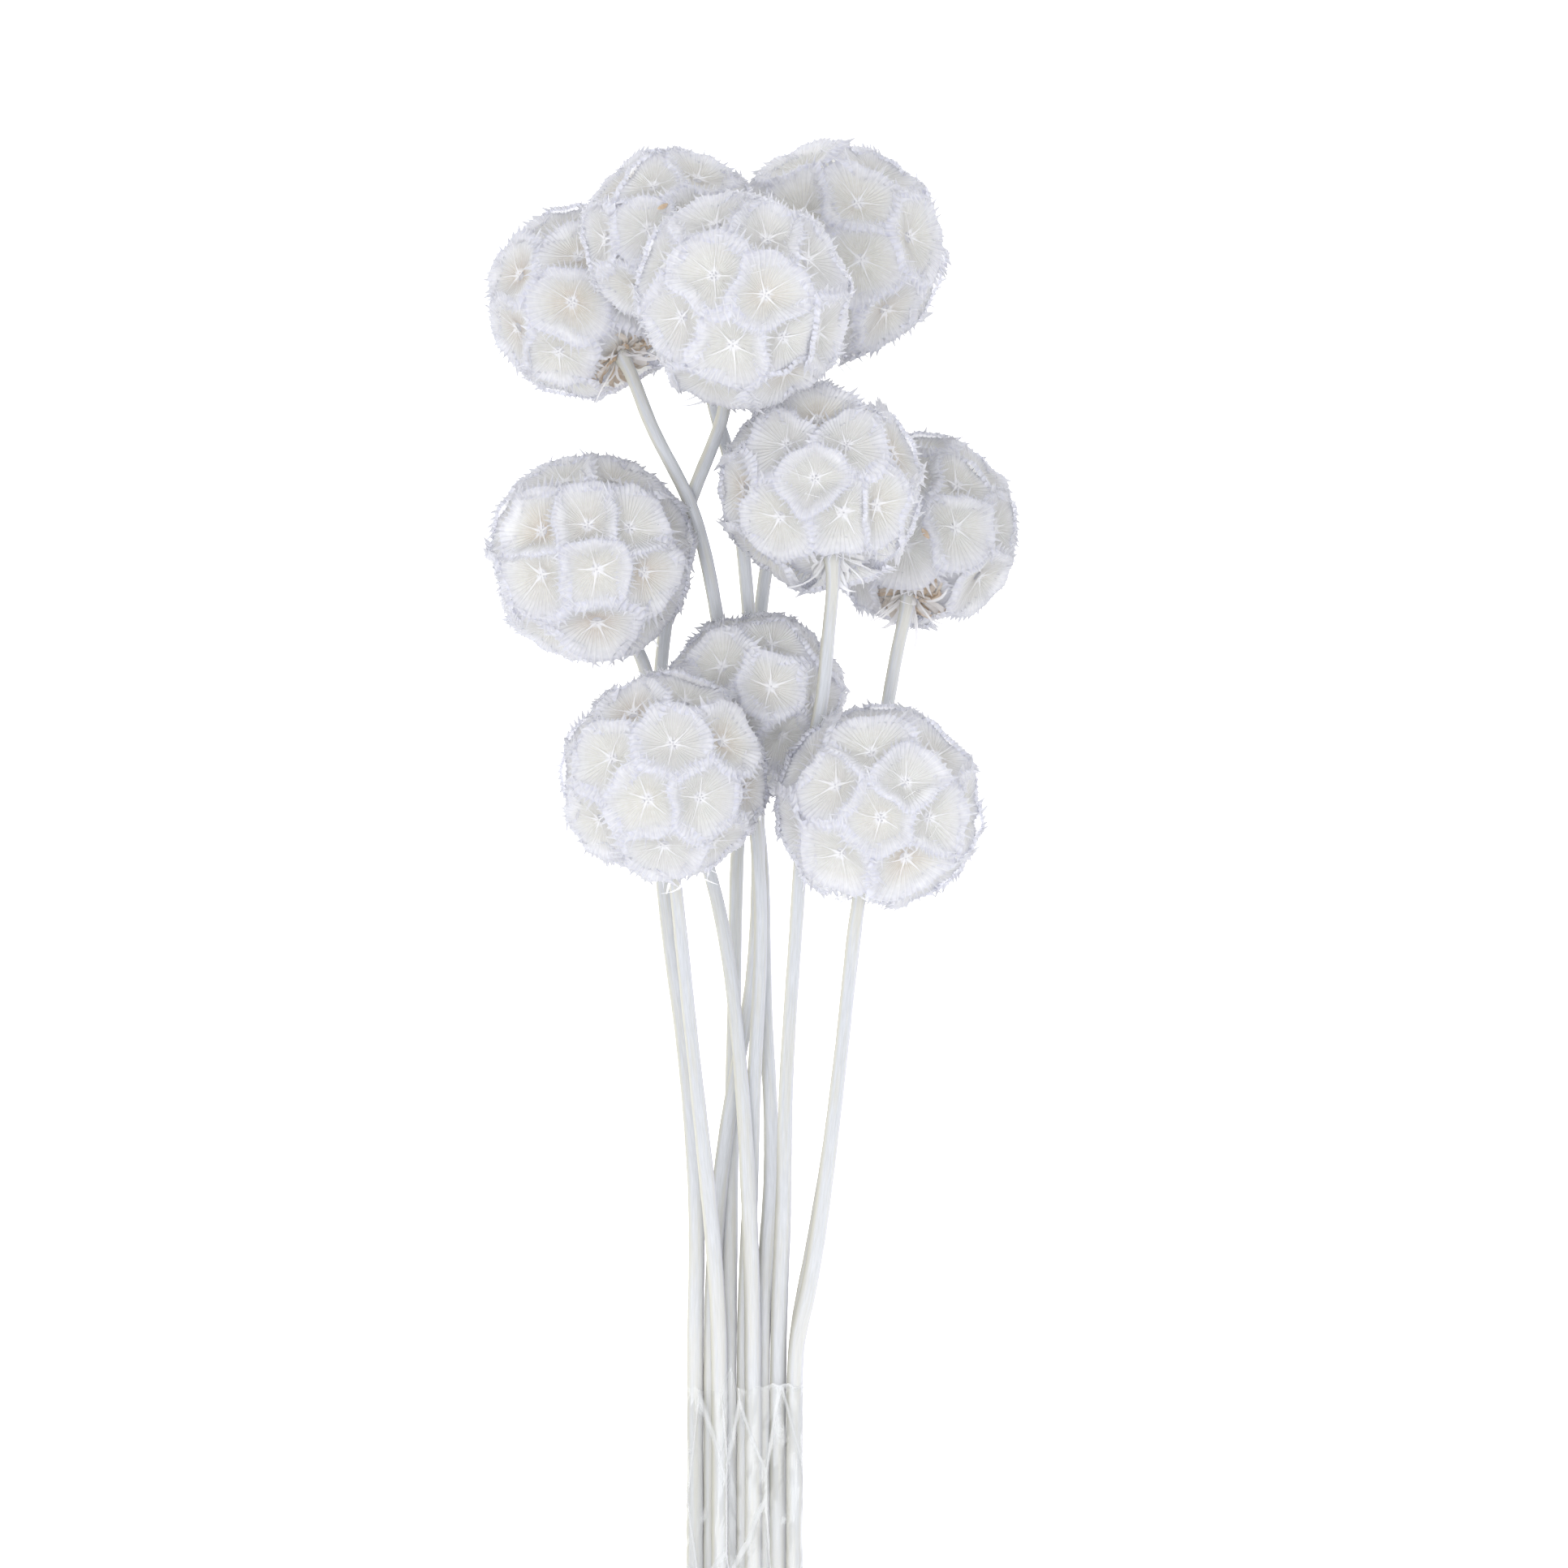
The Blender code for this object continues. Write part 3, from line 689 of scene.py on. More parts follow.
def sheet(growth, place_round, foot, rim, crest, pleat, tints, above, draw):
    """A ribbed sheet from its foot out to a toothed rim that rolls over, and the height of that rim."""
    azimuth, rim_angle, shoulder_height, roll = rim
    foot_angle, foot_height = foot
    cream, tan = tints
    tooth = crest * draw.uniform(*TOOTH_REACH, len(azimuth))
    rows, marks = [], []
    for share in SHEET_STEPS:
        fullness = math.sin(math.pi * min(share, 0.5))
        rolled = max(0.0, (share - SHOULDER) / (1 - SHOULDER)) ** 2
        height = foot_height + (shoulder_height - foot_height) * dish(share) - roll * rolled
        angle = foot_angle + (rim_angle - foot_angle) * share
        if share == 1:
            angle = angle * (1 + tooth)
        height = kept_under(place_round.point(azimuth, angle, np.ones(len(azimuth))), height, above)
        flared = TOOTH_FLARE * tooth if share == 1 else 0.0
        pleated = pleat * fullness * (crest - PLEAT_LEVEL)
        rows.append(place_round.point(azimuth, angle, height + flared + pleated))
        fuzz = np.clip((share - FUZZ_START) / FUZZ_SPREAD, 0, 1) * (1 - FUZZ_OFF_RIBS * crest)
        brown = tan * max(0.0, 1 - share / BROWN_END) * (1 - BROWN_OFF_RIBS * crest)
        creamed = np.full(len(azimuth), cream * (1 - share**CREAM_FALL))
        marks.append(np.stack([crest, fuzz, brown, creamed], axis=1))
    growth.add_grid(np.array(rows), np.array(marks), closed=True)
    return height


def spikes(growth, feet, ways, across, mark):
    """Thin triangles, each on its foot."""
    points = np.stack([feet - across, feet + across, feet + ways], axis=1)
    growth.add(points, np.arange(3 * len(feet)).reshape(-1, 3), np.tile(mark, (3 * len(feet), 1)))


def rim_hairs(growth, place_round, azimuth, rim, height, radius, draw):
    """Fine hairs along a rim."""
    at = draw.integers(len(azimuth), size=HAIRS_PER_SAUCER)
    inward = draw.random(HAIRS_PER_SAUCER) ** HAIR_CROWDING
    angle = rim[at] * (HAIR_EDGE - HAIR_BAND * inward)
    feet = place_round.point(azimuth[at], angle, height[at] + HAIR_LIFT * inward)
    length = draw.uniform(*HAIR_LENGTH, HAIRS_PER_SAUCER)[:, None] / radius
    length = length * (HAIR_STRETCH - HAIR_SHORTER * inward[:, None])
    lean = draw.normal(0, 1, (3, HAIRS_PER_SAUCER, 1))
    lean_out, lean_along, lean_up = np.array(HAIR_LEAN)[:, None, None] * lean
    ways = unit(
        place_round.slope(azimuth[at], angle) * (1 + lean_out)
        + place_round.along(azimuth[at]) * lean_along
        + unit(feet) * (HAIR_UPRIGHT - HAIR_FLATTER * inward[:, None] + lean_up)
    )
    across = place_round.along(azimuth[at]) * (HAIR_WIDTH / 2 / radius)
    spikes(growth, feet, ways * length, across, HAIR_MARK)


def strip(growth, place_round, azimuth, angle, height, width, fold, mark):
    """A narrow leaf along a line of azimuths, angles and heights, folded along its middle."""
    middle = place_round.point(azimuth, angle, height)
    across = place_round.along(azimuth) * (np.asarray(width) / 2)[:, None]
    ridge = middle + unit(middle) * (fold * np.asarray(width))[:, None]
    points = np.stack([middle - across, ridge, middle + across], axis=1)
    growth.add_grid(points, np.tile(mark, (points.shape[0] * 3, 1)), closed=False)


def star(growth, place_round, widest, radius, draw):
    """The five awns in the middle of a saucer, in a ruff of short white hairs."""
    turn = draw.random() * TURN
    foot_width = draw.uniform(*AWN_FOOT_WIDTH)
    steps = np.array(AWN_STEPS)
    for k in range(AWNS):
        angle = widest * draw.uniform(*AWN_REACH) * (AWN_START + (1 - AWN_START) * steps)
        rise = AWN_FOOT_HEIGHT + (draw.uniform(*AWN_TIP_HEIGHT) - AWN_FOOT_HEIGHT) * steps**AWN_RISE
        width = AWN_TIP_WIDTH + (foot_width - AWN_TIP_WIDTH) * (1 - steps) ** AWN_TAPER
        at = turn + k * TURN / AWNS + draw.uniform(-AWN_BEND, AWN_BEND)
        bent = at + draw.uniform(-AWN_BEND, AWN_BEND) * steps**2
        strip(growth, place_round, bent, angle, rise, width / radius, AWN_FOLD, AWN_MARK)
    around = draw.uniform(0, TURN, RUFF_HAIRS)
    feet = place_round.point(around, np.full(RUFF_HAIRS, RUFF_ANGLE), np.full(RUFF_HAIRS, AWN_FOOT_HEIGHT))
    length = draw.uniform(*RUFF_LENGTH, RUFF_HAIRS)[:, None] / radius
    lifted = place_round.axis * draw.uniform(0, RUFF_LIFT, (RUFF_HAIRS, 1))
    ways = unit(place_round.outward(around) + lifted)
    across = place_round.along(around) * (HAIR_WIDTH / radius)
    spikes(growth, feet, ways * length, across, RUFF_MARK)


def add_saucer(growth, number, directions, radius, draw):
    """One saucer: its sheet, its star and the hairs on its rim."""
    place_round = Round(directions[number])
    azimuth, crest = rib_azimuths(int(draw.integers(*RIBS)), draw.random() * TURN)
    others = np.delete(directions, number, axis=0)
    over = np.arange(len(others)) >= number
    over[0] = True
    widest = draw.uniform(*SAUCER_REACH)
    angle, lies_over = rim_reach(place_round, azimuth, others, over, widest)
    angle = angle * (1 + REACH_WAVE * waves(azimuth, REACH_WAVES, draw))
    height = draw.uniform(*RIM_HEIGHT) + RIM_TILT * np.cos(azimuth - draw.random() * TURN)
    height = height + RIM_WAVE * waves(azimuth, RIM_WAVES, draw)
    rim = (azimuth, angle, height, ROLL_OVER * lies_over)
    tints = (draw.uniform(*CREAM_SHARE), BROWN_MOST * draw.random() ** BROWN_RARITY)
    foot, above = (FOOT_ANGLE, FOOT_HEIGHT), directions[1:number]
    rim_height = sheet(growth, place_round, foot, rim, crest, PLEAT_DEPTH, tints, above, draw)
    star(growth, place_round, widest, radius, draw)
    rim_hairs(growth, place_round, azimuth, angle, rim_height, radius, draw)


def leaf_line(tip_angle, tip_height, bend):
    """Angles and heights from the stem outward, and how the azimuth bends on the way."""
    angle = NECK_FOOT_ANGLE + (math.radians(tip_angle) - NECK_FOOT_ANGLE) * LEAF_STEPS
    rise = NECK_HEIGHT + (tip_height - NECK_HEIGHT) * LEAF_STEPS**LEAF_RISE
    return angle, rise, bend * LEAF_STEPS**2


def browned(mark, share):
    """A mark with its tan times a share."""
    rib, fuzz, tan, cream = mark
    return rib, fuzz, tan * share, cream


def add_neck_floor(growth, place_round, directions, faded, draw):
    """The ribbed floor round the stem, which reaches in under the nearest saucers."""
    azimuth, crest = rib_azimuths(NECK_RIBS, 0.0)
    under = np.zeros(len(directions) - 1, bool)
    angle, _ = rim_reach(place_round, azimuth, directions[1:], under, SAUCER_REACH[1])
    rim = (azimuth, angle, NECK_RIM_HEIGHT, 0.0)
    foot, tints = (NECK_FOOT_ANGLE, NECK_FLOOR), (NECK_CREAM, NECK_BROWN * faded)
    sheet(growth, place_round, foot, rim, crest, NECK_PLEAT, tints, directions[:0], draw)


def add_columns(growth, place_round, radius, faded, draw):
    """Fluted columns that stand round the stem."""
    mark = browned(COLUMN_MARK, faded)
    for k in range(COLUMNS_ROUND_NECK):
        tip_angle, tip_height = draw.uniform(*COLUMN_TIP_ANGLE), draw.uniform(*COLUMN_TIP_HEIGHT)
        bending = draw.uniform(-COLUMN_BEND, COLUMN_BEND)
        angle, rise, bend = leaf_line(tip_angle, tip_height, bending)
        turn = (k + draw.uniform(-COLUMN_STRAY, COLUMN_STRAY)) * TURN / COLUMNS_ROUND_NECK
        width = draw.uniform(*COLUMN_WIDTH) * (COLUMN_FOOT + LEAF_STEPS)
        strip(growth, place_round, turn + bend, angle, rise, width / radius, COLUMN_FOLD, mark)


def add_bracts(growth, place_round, radius, faded, draw):
    """Pointed bracts that bend, and hook in or out at their tips."""
    mark = browned(BRACT_MARK, faded)
    for k in range(BRACTS):
        tip_angle, tip_height = draw.uniform(*BRACT_TIP_ANGLE), draw.uniform(*BRACT_TIP_HEIGHT)
        bending = draw.uniform(-BRACT_BEND, BRACT_BEND)
        angle, rise, bend = leaf_line(tip_angle, tip_height, bending)
        rise = rise + draw.uniform(*BRACT_HOOK) * LEAF_STEPS**4
        turn = (k + draw.uniform(-BRACT_STRAY, BRACT_STRAY)) * TURN / BRACTS
        width = draw.uniform(*BRACT_WIDTH) * (BRACT_FOOT + BRACT_WIDENING * LEAF_STEPS)
        width = width * (1 - LEAF_STEPS) ** BRACT_TAPER + BRACT_TIP_WIDTH
        strip(growth, place_round, turn + bend, angle, rise, width / radius, BRACT_FOLD, mark)


def add_florets(growth, place_round, radius, faded, draw):
    """Tan, shrivelled florets, as many as the head is faded."""
    for _ in range(round(FLORETS * faded)):
        tip_angle, tip_height = draw.uniform(*FLORET_TIP_ANGLE), draw.uniform(*FLORET_TIP_HEIGHT)
        angle, rise, bend = leaf_line(tip_angle, tip_height, FLORET_BEND)
        rise = rise + draw.normal(0, FLORET_SHRIVEL, len(LEAF_STEPS))
        width = draw.uniform(*FLORET_WIDTH) * (FLORET_FOOT + LEAF_STEPS)
        width = width * (1 - FLORET_TAPER * LEAF_STEPS**3)
        mark = browned(FLORET_MARK, draw.uniform(*FLORET_BROWN))
        turn = draw.uniform(0, TURN)
        strip(growth, place_round, turn + bend, angle, rise, width / radius, FLORET_FOLD, mark)


def add_neck(growth, directions, radius, faded, draw):
    """The bare underside round the stem, with all that stands on it."""
    place_round = Round(directions[0])
    add_neck_floor(growth, place_round, directions, faded, draw)
    add_columns(growth, place_round, radius, faded, draw)
    add_bracts(growth, place_round, radius, faded, draw)
    add_florets(growth, place_round, radius, faded, draw)


def add_scrap(growth, head):
    """A small dry petal that is caught among the saucers."""
    across, up = np.array(head["scrap"]) / head["radius"]
    place_round = Round(unit((across, up, math.sqrt(1 - across**2 - up**2))))
    steps = np.linspace(0, 1, SCRAP_STEPS)
    width = SCRAP_WIDTH / head["radius"] * np.sin(math.pi * (SCRAP_END + (1 - 2 * SCRAP_END) * steps))
    angle = SCRAP_LENGTH / head["radius"] * (steps - 0.5)
    rise = SCRAP_HEIGHT + SCRAP_CURL * steps**2
    turn = np.full(SCRAP_STEPS, SCRAP_TURN)
    strip(growth, place_round, turn, angle, rise, width, SCRAP_FOLD, SCRAP_MARK)


def add_core(growth, axis):
    """The ball that the saucers stand on."""
    place_round = Round(axis)
    around = np.arange(2 * CORE_ROWS) * TURN / (2 * CORE_ROWS)
    height = np.full(len(around), CORE_HEIGHT)
    angles = np.linspace(POLE_HOLE, math.pi - POLE_HOLE, CORE_ROWS)
    rows = [place_round.point(around, np.full(len(around), angle), height) for angle in angles]
    growth.add_grid(np.array(rows), np.tile(CORE_MARK, (len(rows) * len(around), 1)), closed=True)


def add_head(name, finish):
    """One head, with every saucer, star, hair and bract, in one piece."""
    head = HEADS[name]
    draw = np.random.default_rng(int(name[-2:]))
    growth = Growth("rib", "fuzz", "tan", "cream")
    directions = saucer_directions(head)
    add_core(growth, directions[0])
    add_neck(growth, directions, head["radius"], head.get("faded", 0.0), draw)
    for number in range(1, len(directions)):
        add_saucer(growth, number, directions, head["radius"], draw)
    if "scrap" in head:
        add_scrap(growth, head)
    made = growth.piece("papery_" + name, finish, head_place(name))
    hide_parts(name)
    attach(made, "root")


def slot_place(slot):
    """Across and up in the film, for a column and a layer."""
    column, layer = slot
    across = SLEEVE_X + (column - (COLUMNS - 1) / 2) * COLUMN_PITCH
    return across, SLEEVE_WALL + GAP + STEM_FOOT_RADIUS + layer * LAYER_RISE


def smooth_line(points, steps, start_way, end_way):
    """Points along a smooth curve through the given ones, which starts and ends along the given ways."""
    first_span = np.linalg.norm(points[1] - points[0])
    last_span = np.linalg.norm(points[-1] - points[-2])
    before_first = points[1] - 2 * first_span * start_way
    after_last = points[-2] + 2 * last_span * end_way
    points = [before_first] + list(points) + [after_last]
    line = []
    for before, start, end, after in zip(points, points[1:], points[2:], points[3:]):
        for step in range(steps):
            t = step / steps
            line.append(
                start
                + 0.5 * t * (end - before)
                + t**2 * (before - 2.5 * start + 2 * end - 0.5 * after)
                + t**3 * (1.5 * (start - end) + 0.5 * (after - before))
            )
    line.append(points[-2])
    return line


def stem_line(name, steps):
    """The middle line of a stem, from just below its head to its cut end."""
    head, stem = HEADS["head" + name[4:]], STEMS[name]
    down = -unit(head["top"])
    seat = np.array(head["middle"]) + down * (NECK_HEIGHT * head["radius"] + GAP)
    across, up = slot_place(stem["slot"])
    cut = CUT_END + CUT_STEP * (int(name[-2:]) % CUT_LENGTHS)
    bent = [seat + NECK_LEAD * down] + [np.array(point) for point in stem["route"]]
    bent.append(np.array((across, SLEEVE_TOP + STRAIGHT_LEAD, up)))
    straight_down = np.array((0, -1, 0))
    return [seat] + smooth_line(bent, steps, down, straight_down) + [np.array((across, cut, up))]


def closely_spaced(line, step):
    """The same line with points added on its long spans."""
    found = [line[0]]
    for start, end in zip(line[:-1], line[1:]):
        parts = max(1, round(np.linalg.norm(end - start) / step))
        found += [start + (end - start) * k / parts for k in range(1, parts + 1)]
    return np.array(found)


def eased(line):
    """The same line with its bends eased, between fixed ends."""
    line = line.copy()
    for _ in range(SMOOTHING_ROUNDS):
        line[1:-1] += 0.5 * (0.5 * (line[:-2] + line[2:]) - line[1:-1])
    return line


def frames_along(line):
    """Two directions square to a line at each of its points, carried along it without twist."""
    ways = unit(np.gradient(line, axis=0))
    side, _ = azimuth_frame(ways[0])
    sides = []
    for way in ways:
        side = unit(side - (side @ way) * way)
        sides.append(side)
    sides = np.array(sides)
    return sides, np.cross(ways, sides)


def stem_radii(line, run, draw):
    """How thick a stem is along its line: flared under its head, uneven, and swollen in the film."""
    radius = STEM_TOP_RADIUS + run / run[-1] * (STEM_FOOT_RADIUS - STEM_TOP_RADIUS)
    radius = radius + STEM_FLARE * np.exp(-((run / FLARE_LENGTH) ** 2))
    radius = radius * (1 + SWELL * np.clip((SWELL_TOP - line[:, 1]) / SWELL_LENGTH, 0, 1))
    for length in UNEVEN_LENGTHS:
        radius = radius * (1 + UNEVENNESS * np.sin(run * TURN / length + draw.random() * TURN))
    return radius


def add_stem(name, finish):
    """A dry stalk: faintly ridged, a little uneven, and flared where its head sits on it."""
    draw = np.random.default_rng(STEM_SEED + int(name[-2:]))
    coarse = stem_line(name, STEM_STEPS)
    into_head = unit(coarse[0] - coarse[1])
    line = eased(closely_spaced([coarse[0] + SUNK_IN_HEAD * into_head] + coarse, STRAIGHT_STEP))
    sides, others = frames_along(line)
    run = np.concatenate([[0], np.cumsum(np.linalg.norm(np.diff(line, axis=0), axis=1))])
    radius = stem_radii(line, run, draw)
    around = np.arange(STEM_SIDES) * TURN / STEM_SIDES
    twist = draw.uniform(-RIDGE_TWIST, RIDGE_TWIST) * run
    ridges = 1 - RIDGE_DEPTH * (0.5 + 0.5 * np.cos(STEM_RIDGES * (around[None] + twist[:, None])))
    reach = (radius[:, None] * ridges)[..., None]
    across, beside = np.cos(around)[None, :, None], np.sin(around)[None, :, None]
    rows = line[:, None] + reach * (across * sides[:, None] + beside * others[:, None])
    marks = np.empty((len(run), STEM_SIDES, 3))
    marks[..., 0] = run[:, None]
    marks[..., 1] = np.cos(around)
    marks[..., 2] = np.sin(around)
    growth = Growth("along", "across", "beside")
    growth.add_grid(rows, marks, closed=True)
    for end, order in ((0, range(STEM_SIDES - 1, -1, -1)), (-1, range(STEM_SIDES))):
        growth.add(rows[end], [list(order)], marks[end])
    made = growth.piece("dry_" + name, finish, lambda points: points)
    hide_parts(name)
    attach(made, "root")


def film_section():
    """The film's section half way through its wall: flat below, over two layers of stems."""
    reach = STEM_FOOT_RADIUS + GAP + SLEEVE_WALL / 2
    left = slot_place((0, 0))
    right = slot_place((COLUMNS - 1, 0))
    top_left = slot_place((TOP_LAYER_FIRST, 1))
    top_right = slot_place((TOP_LAYER_LAST, 1))
    left_shoulder = 180 - math.degrees(math.atan2(top_left[0] - left[0], LAYER_RISE))
    right_shoulder = math.degrees(math.atan2(right[0] - top_right[0], LAYER_RISE))
    turns = (
        (right, -90, right_shoulder),
        (top_right, right_shoulder, 90),
        (top_left, 90, left_shoulder),
        (left, left_shoulder, 270),
    )
    outline = []
    for (across, up), first, last in turns:
        for step in range(SHOULDER_STEPS + 1):
            angle = math.radians(first + (last - first) * step / SHOULDER_STEPS)
            outline.append((across + reach * math.cos(angle), up + reach * math.sin(angle)))
    return closely_spaced([np.array(point) for point in outline + outline[:1]], SECTION_STEP)[:-1]


def film_top(across):
    """How high the film's cut upper edge reaches, across the bunch."""
    top = SLEEVE_TOP + TONGUE_HEIGHT * np.exp(-(((across - TONGUE_X) / TONGUE_WIDTH) ** 2))
    return top + sum(height * np.sin(rate * across) for height, rate in EDGE_WAVES)


def add_film(finish):
    """The clear film round the stems, creased by folds that run askew."""
    draw = np.random.default_rng(FILM_SEED)
    section = film_section()
    length = np.linalg.norm(np.diff(section, axis=0, append=section[:1]), axis=1)
    run = np.concatenate([[0], np.cumsum(length)[:-1]]) / length.sum()
    outward = unit(np.stack([np.gradient(section[:, 1]), -np.gradient(section[:, 0])], axis=1))
    # The hem gets a painted highlight, stronger towards the right.
    rightness = np.clip((section[:, 0] - HEM_START) / HEM_SPREAD, 0, 1)
    hem_highlight = HEM_HIGHLIGHT * (HEM_LEAST + (1 - HEM_LEAST) * rightness)
    rows, painted_highlight = [], []
    folds = [
        (draw.integers(*FOLD_TURNS), draw.uniform(-FOLD_LEAN, FOLD_LEAN), draw.random() * TURN)
        for _ in range(FOLDS)
    ]
    for share in np.linspace(0, 1, FILM_ROWS):
        y = film_top(section[:, 0]) * (1 - share) + SLEEVE_FOOT * share
        crease = np.zeros(len(section))
        for turns, lean, phase in folds:
            crease += np.abs(((turns * run + lean * share + phase) % 1) - 0.5) - 0.25
        moved = section + outward * (FOLD_DEPTH * crease)[:, None]
        rows.append(np.stack([moved[:, 0], y, np.maximum(moved[:, 1], FILM_LEAST_HEIGHT)], axis=1))
        # Painted highlights along the fold crests, and along the hem on the top row.
        ridge = crease / np.abs(crease).max() - FOLD_HIGHLIGHT_FROM
        painted_highlight.append(FOLD_HIGHLIGHT * np.clip(FOLD_HIGHLIGHT_EDGE * ridge, 0, 1) if share else hem_highlight)
    growth = Growth("painted_highlight")
    growth.add_grid(np.array(rows), np.array(painted_highlight), closed=True)
    made = growth.piece("crinkled_film", finish, lambda points: points)
    made.data.shade_flat()
    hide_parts("film_sleeve")
    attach(made, "root")


class Shading:
    """A short way to set up a material's nodes."""

    def __init__(self, name):
        self.material = bpy.data.materials.new(name)
        self.material.use_nodes = True
        self.tree = self.material.node_tree
        self.shader = self.tree.nodes["Principled BSDF"]
        self.output = self.tree.nodes["Material Output"]

    def give(self, name, value):
        """Sets or links one of the shader's own inputs."""
        self.feed(self.shader.inputs[name], value)

    def node(self, kind, **inputs):
        made = self.tree.nodes.new(kind)
        for key, value in inputs.items():
            self.feed(made.inputs[key.replace("_", " ")], value)
        return made

    def feed(self, socket, value):
        if isinstance(value, bpy.types.NodeSocket):
            self.tree.links.new(value, socket)
        else:
            socket.default_value = value

    def mark(self, name):
        made = self.node("ShaderNodeAttribute")
        made.attribute_name = name
        return made.outputs["Fac"]

    def place(self):
        return self.node("ShaderNodeTexCoord").outputs["Object"]

    def noise(self, vector, scale, detail=2.0):
        return self.node("ShaderNodeTexNoise", Vector=vector, Scale=scale, Detail=detail).outputs["Fac"]

    def component(self, vector, number):
        return self.node("ShaderNodeSeparateXYZ", Vector=vector).outputs[number]

    def between(self, value, low, high):
        """A number brought from the range low to high into 0 to 1."""
        made = self.node("ShaderNodeMapRange", Value=value)
        made.inputs["From Min"].default_value = low
        made.inputs["From Max"].default_value = high
        return made.outputs["Result"]

    def math(self, operation, first, second):
        made = self.node("ShaderNodeMath")
        made.operation = operation
        self.feed(made.inputs[0], first)
        self.feed(made.inputs[1], second)
        return made.outputs["Value"]

    def mix(self, factor, first, second):
        made = self.node("ShaderNodeMix")
        made.data_type = "RGBA"
        self.feed(made.inputs["Factor"], factor)
        self.feed(made.inputs[6], first)
        self.feed(made.inputs[7], second)
        return made.outputs[2]

    def blend(self, factor, pair):
        """The colour between the two of a pair."""
        first, second = pair
        return self.mix(factor, colour(*first), colour(*second))

    def bump(self, height, distance, strength):
        made = self.node("ShaderNodeBump", Height=height, Distance=distance, Strength=strength)
        self.give("Normal", made.outputs["Normal"])

    def mix_shaders(self, factor, first, second):
        made = self.node("ShaderNodeMixShader")
        self.feed(made.inputs[0], factor)
        self.feed(made.inputs[1], first)
        self.feed(made.inputs[2], second)
        return made.outputs[0]

    def let_through(self, tint, share):
        """Lets a share of the light through the surface."""
        through = self.node("ShaderNodeBsdfTranslucent", Color=tint)
        mixed = self.mix_shaders(share, self.shader.outputs[0], through.outputs[0])
        self.feed(self.output.inputs["Surface"], mixed)


def colour(red, green, blue):
    """A colour from values as they look on screen, 0 to 255."""
    shown = np.array((red, green, blue)) / 255
    return (*np.where(shown <= 0.04045, shown / 12.92, ((shown + 0.055) / 1.055) ** 2.4), 1.0)


def paper_finish(name, shade_greying):
    """Bleached papery sheet: cream between white ribs, with lavender-grey fuzz along the rims."""
    look = Shading(name)
    place = look.place()
    broad = look.between(look.noise(place, BROAD_GRAIN), 0.35, 0.65)
    fine = look.between(look.noise(place, FINE_GRAIN), 0.3, 0.7)
    grey, cream = look.blend(broad, GREY_SHEET), look.blend(fine, CREAM_SHEET)
    membrane = look.mix(look.mark("cream"), grey, cream)
    whitened = look.between(look.mark("rib"), 0.4, 1.0)
    ribbed = look.mix(whitened, membrane, colour(*RIB_WHITE))
    fuzzed = look.mix(look.mark("fuzz"), ribbed, look.blend(fine, FUZZ))
    faded = look.mix(look.mark("tan"), fuzzed, look.blend(fine, BROWN))
    # Painted shade: a head that lies in shadow is greyed all over.
    tint = look.mix(shade_greying, faded, colour(*PAINTED_SHADE_GREY))
    look.give("Base Color", tint)
    look.give("Roughness", look.between(fine, -2.0, 1.6))
    look.give("Specular IOR Level", 0.25)
    look.bump(look.noise(place, FUZZY_GRAIN), GRAIN_DEPTH, 0.35)
    look.let_through(tint, LET_THROUGH)
    return look.material


def stalk_finish():
    """A bleached, streaked stalk, with painted shade yellower at its left side and bluer at its right, and
    painted light that makes it paler near its foot.
    """
    look = Shading("bleached_stalk")
    combined = look.node("ShaderNodeCombineXYZ")
    look.feed(combined.inputs[0], look.mark("across"))
    look.feed(combined.inputs[1], look.mark("beside"))
    look.feed(combined.inputs[2], look.math("MULTIPLY", look.mark("along"), DRAWN_OUT))
    grain = combined.outputs[0]
    streaks = look.between(look.noise(grain, 7.0, 5.0), 0.35, 0.65)
    patches = look.between(look.noise(grain, 1.6, 3.0), 0.42, 0.68)
    aged = look.math("MULTIPLY", patches, AGEING)
    tint = look.mix(aged, look.blend(streaks, STALK), colour(*STALK_AGED))
    # Painted light: the lower stalks are mixed paler, to lift the shade in the bundle.
    low = look.between(look.component(look.place(), 1), *(MM * y for y in LOWER_STALKS))
    tint = look.mix(look.math("MULTIPLY", low, PAINTED_LIGHTENING), tint, colour(*STALK_PAINTED_LIGHT))
    facing = look.component(look.node("ShaderNodeTexCoord").outputs["Normal"], 0)
    # Painted shade on the sides: yellow-grey where the stalk faces left, bluish where it faces right.
    tint = look.mix(look.between(facing, -0.5, -1.0), tint, colour(*STALK_LEFT_SHADE))
    tint = look.mix(look.between(facing, 0.7, 1.0), tint, colour(*STALK_RIGHT_SHADE))
    look.give("Base Color", tint)
    look.give("Roughness", look.between(streaks, -1.6, 1.9))
    look.give("Specular IOR Level", 0.3)
    look.bump(look.noise(grain, 16.0, 4.0), GRAIN_DEPTH, 0.4)
    return look.material


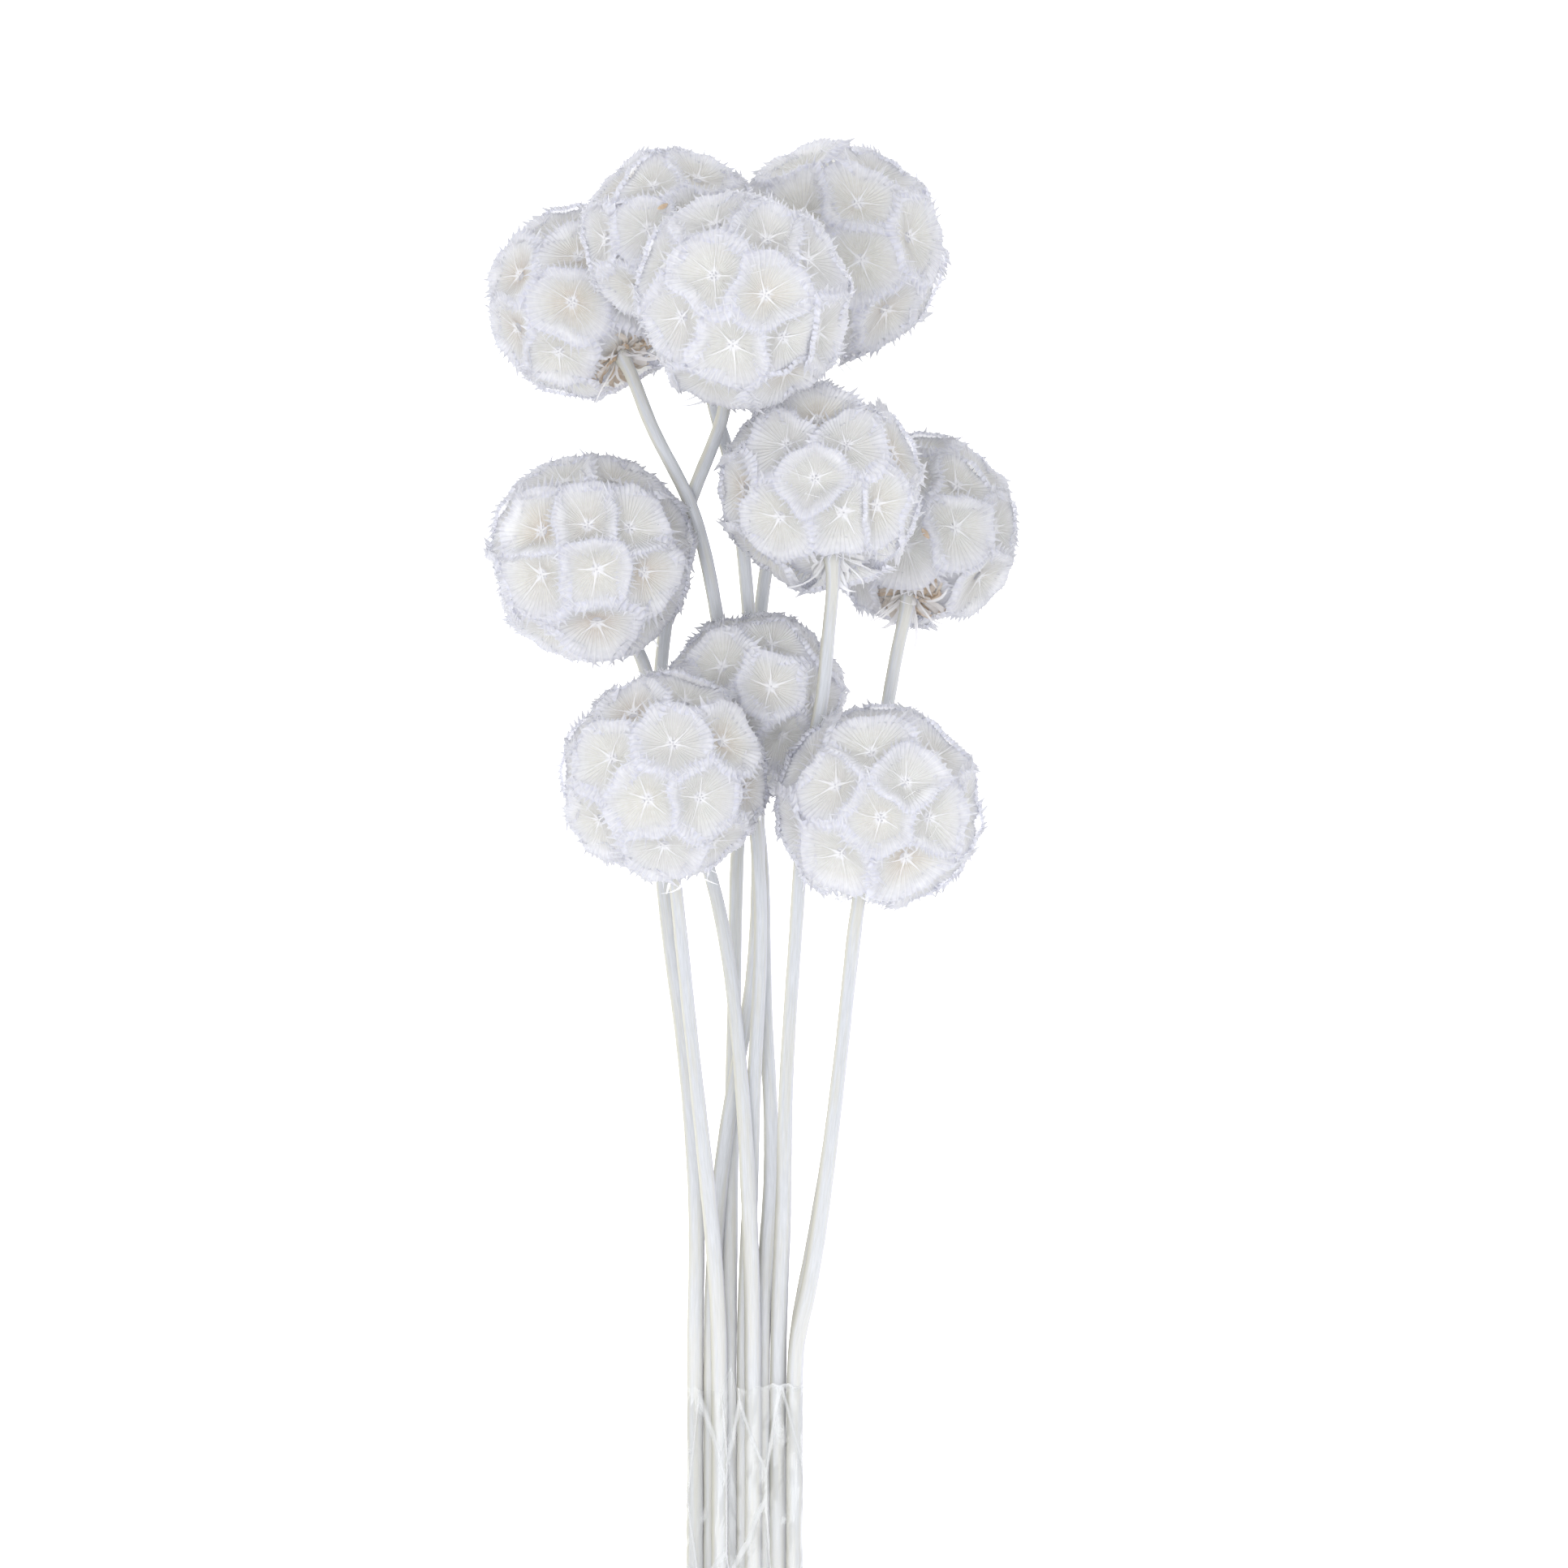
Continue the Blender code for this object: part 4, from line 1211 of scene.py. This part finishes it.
def film_finish():
    """Clear thin film: the stems show through it, it shines, and its creases and hem carry painted
    highlights in white.
    """
    look = Shading("clear_thin_film")
    edge = look.node("ShaderNodeLayerWeight", Blend=0.35).outputs["Facing"]
    shine = look.node("ShaderNodeBsdfGlossy", Color=colour(*FILM_SHINE), Roughness=0.14)
    clear = look.node("ShaderNodeBsdfTransparent", Color=colour(*FILM_CLEAR))
    shown = look.math("ADD", look.math("MULTIPLY", edge, 0.35), 0.025)
    film = look.mix_shaders(shown, clear.outputs[0], shine.outputs[0])
    # Painted highlights: thin white lines along crease-like cells, plus the highlights marked on the mesh,
    # mixed in as a white diffuse sheet.
    drawn_out = look.node("ShaderNodeMapping", Vector=look.place())
    drawn_out.inputs["Rotation"].default_value = (0, 0, CREASE_LEAN)
    drawn_out.inputs["Scale"].default_value = CREASES_PER_METRE
    cells = look.node("ShaderNodeTexVoronoi", Vector=drawn_out.outputs[0], Scale=1.0)
    cells.feature = "DISTANCE_TO_EDGE"
    lines = look.between(cells.outputs["Distance"], 0.035, 0.01)
    crease_highlights = look.math("MULTIPLY", lines, CREASE_HIGHLIGHT)
    whitened = look.math("MAXIMUM", look.mark("painted_highlight"), crease_highlights)
    look.give("Base Color", colour(*FILM_HIGHLIGHT_WHITE))
    look.give("Roughness", 0.35)
    mixed = look.mix_shaders(whitened, film, look.shader.outputs[0])
    look.feed(look.output.inputs["Surface"], mixed)
    return look.material


def add_floor():
    """A plain white light table."""
    bpy.ops.mesh.primitive_plane_add(size=FLOOR_SIZE)
    floor = bpy.context.object
    floor.name = "light_table"
    look = Shading("light_table_white")
    look.give("Base Color", colour(*TABLE_WHITE))
    look.give("Roughness", 0.9)
    look.give("Specular IOR Level", 0.0)
    look.give("Emission Color", (1, 1, 1, 1))
    look.give("Emission Strength", FLOOR_GLOW)
    floor.data.materials.append(look.material)


def add_light(name, place, size, power):
    """A soft square light that faces the bunch, and isn't seen itself."""
    light = bpy.data.lights.new(name, "AREA")
    light.size = size
    light.energy = power
    made = bpy.data.objects.new(name, light)
    made.location = place
    toward = np.array(LIT_POINT) - np.array(place)
    made.rotation_mode = "QUATERNION"
    made.rotation_quaternion = Vector(toward).to_track_quat("-Z", "Y")
    made.visible_camera = False
    bpy.context.scene.collection.objects.link(made)


def light_and_camera():
    """Soft white studio light from all sides, and a camera that looks straight down."""
    world = bpy.data.worlds.new("white_studio")
    world.use_nodes = True
    world.node_tree.nodes["Background"].inputs["Color"].default_value = ROOM_TINT
    world.node_tree.nodes["Background"].inputs["Strength"].default_value = ROOM_LIGHT
    bpy.context.scene.world = world
    add_light("soft_key", **SOFT_KEY)
    add_light("soft_fill", **SOFT_FILL)
    camera = bpy.data.cameras.new("view")
    camera.sensor_width = SENSOR
    camera.lens = SENSOR * VIEW_HEIGHT / (MM_PER_PIXEL * FRAME_PIXELS)
    camera.clip_end = FARTHEST_SEEN
    made = bpy.data.objects.new("view", camera)
    made.location = (FRAME_MIDDLE[0] * MM, FRAME_MIDDLE[1] * MM, (VIEW_HEIGHT + MIDDLE_HEIGHT) * MM)
    bpy.context.scene.collection.objects.link(made)
    bpy.context.scene.camera = made
    bpy.context.scene.view_settings.view_transform = "Standard"


def corners(box):
    return [list(corner) for corner in box]


def main():
    for existing in list(bpy.data.objects):
        bpy.data.objects.remove(existing)
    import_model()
    light_and_camera()
    add_floor()
    paper = paper_finish("bleached_paper", 0.0)
    # A copy of the paper greyed with painted shade, for a head that lies in shadow.
    shade_painted = paper_finish("shade_painted_paper", PAINTED_SHADE_STRENGTH)
    stalk, film = stalk_finish(), film_finish()
    for name, head in HEADS.items():
        add_head(name, shade_painted if head.get("shade_painted") else paper)
    for name in STEMS:
        add_stem(name, stalk)
    add_film(film)


main()
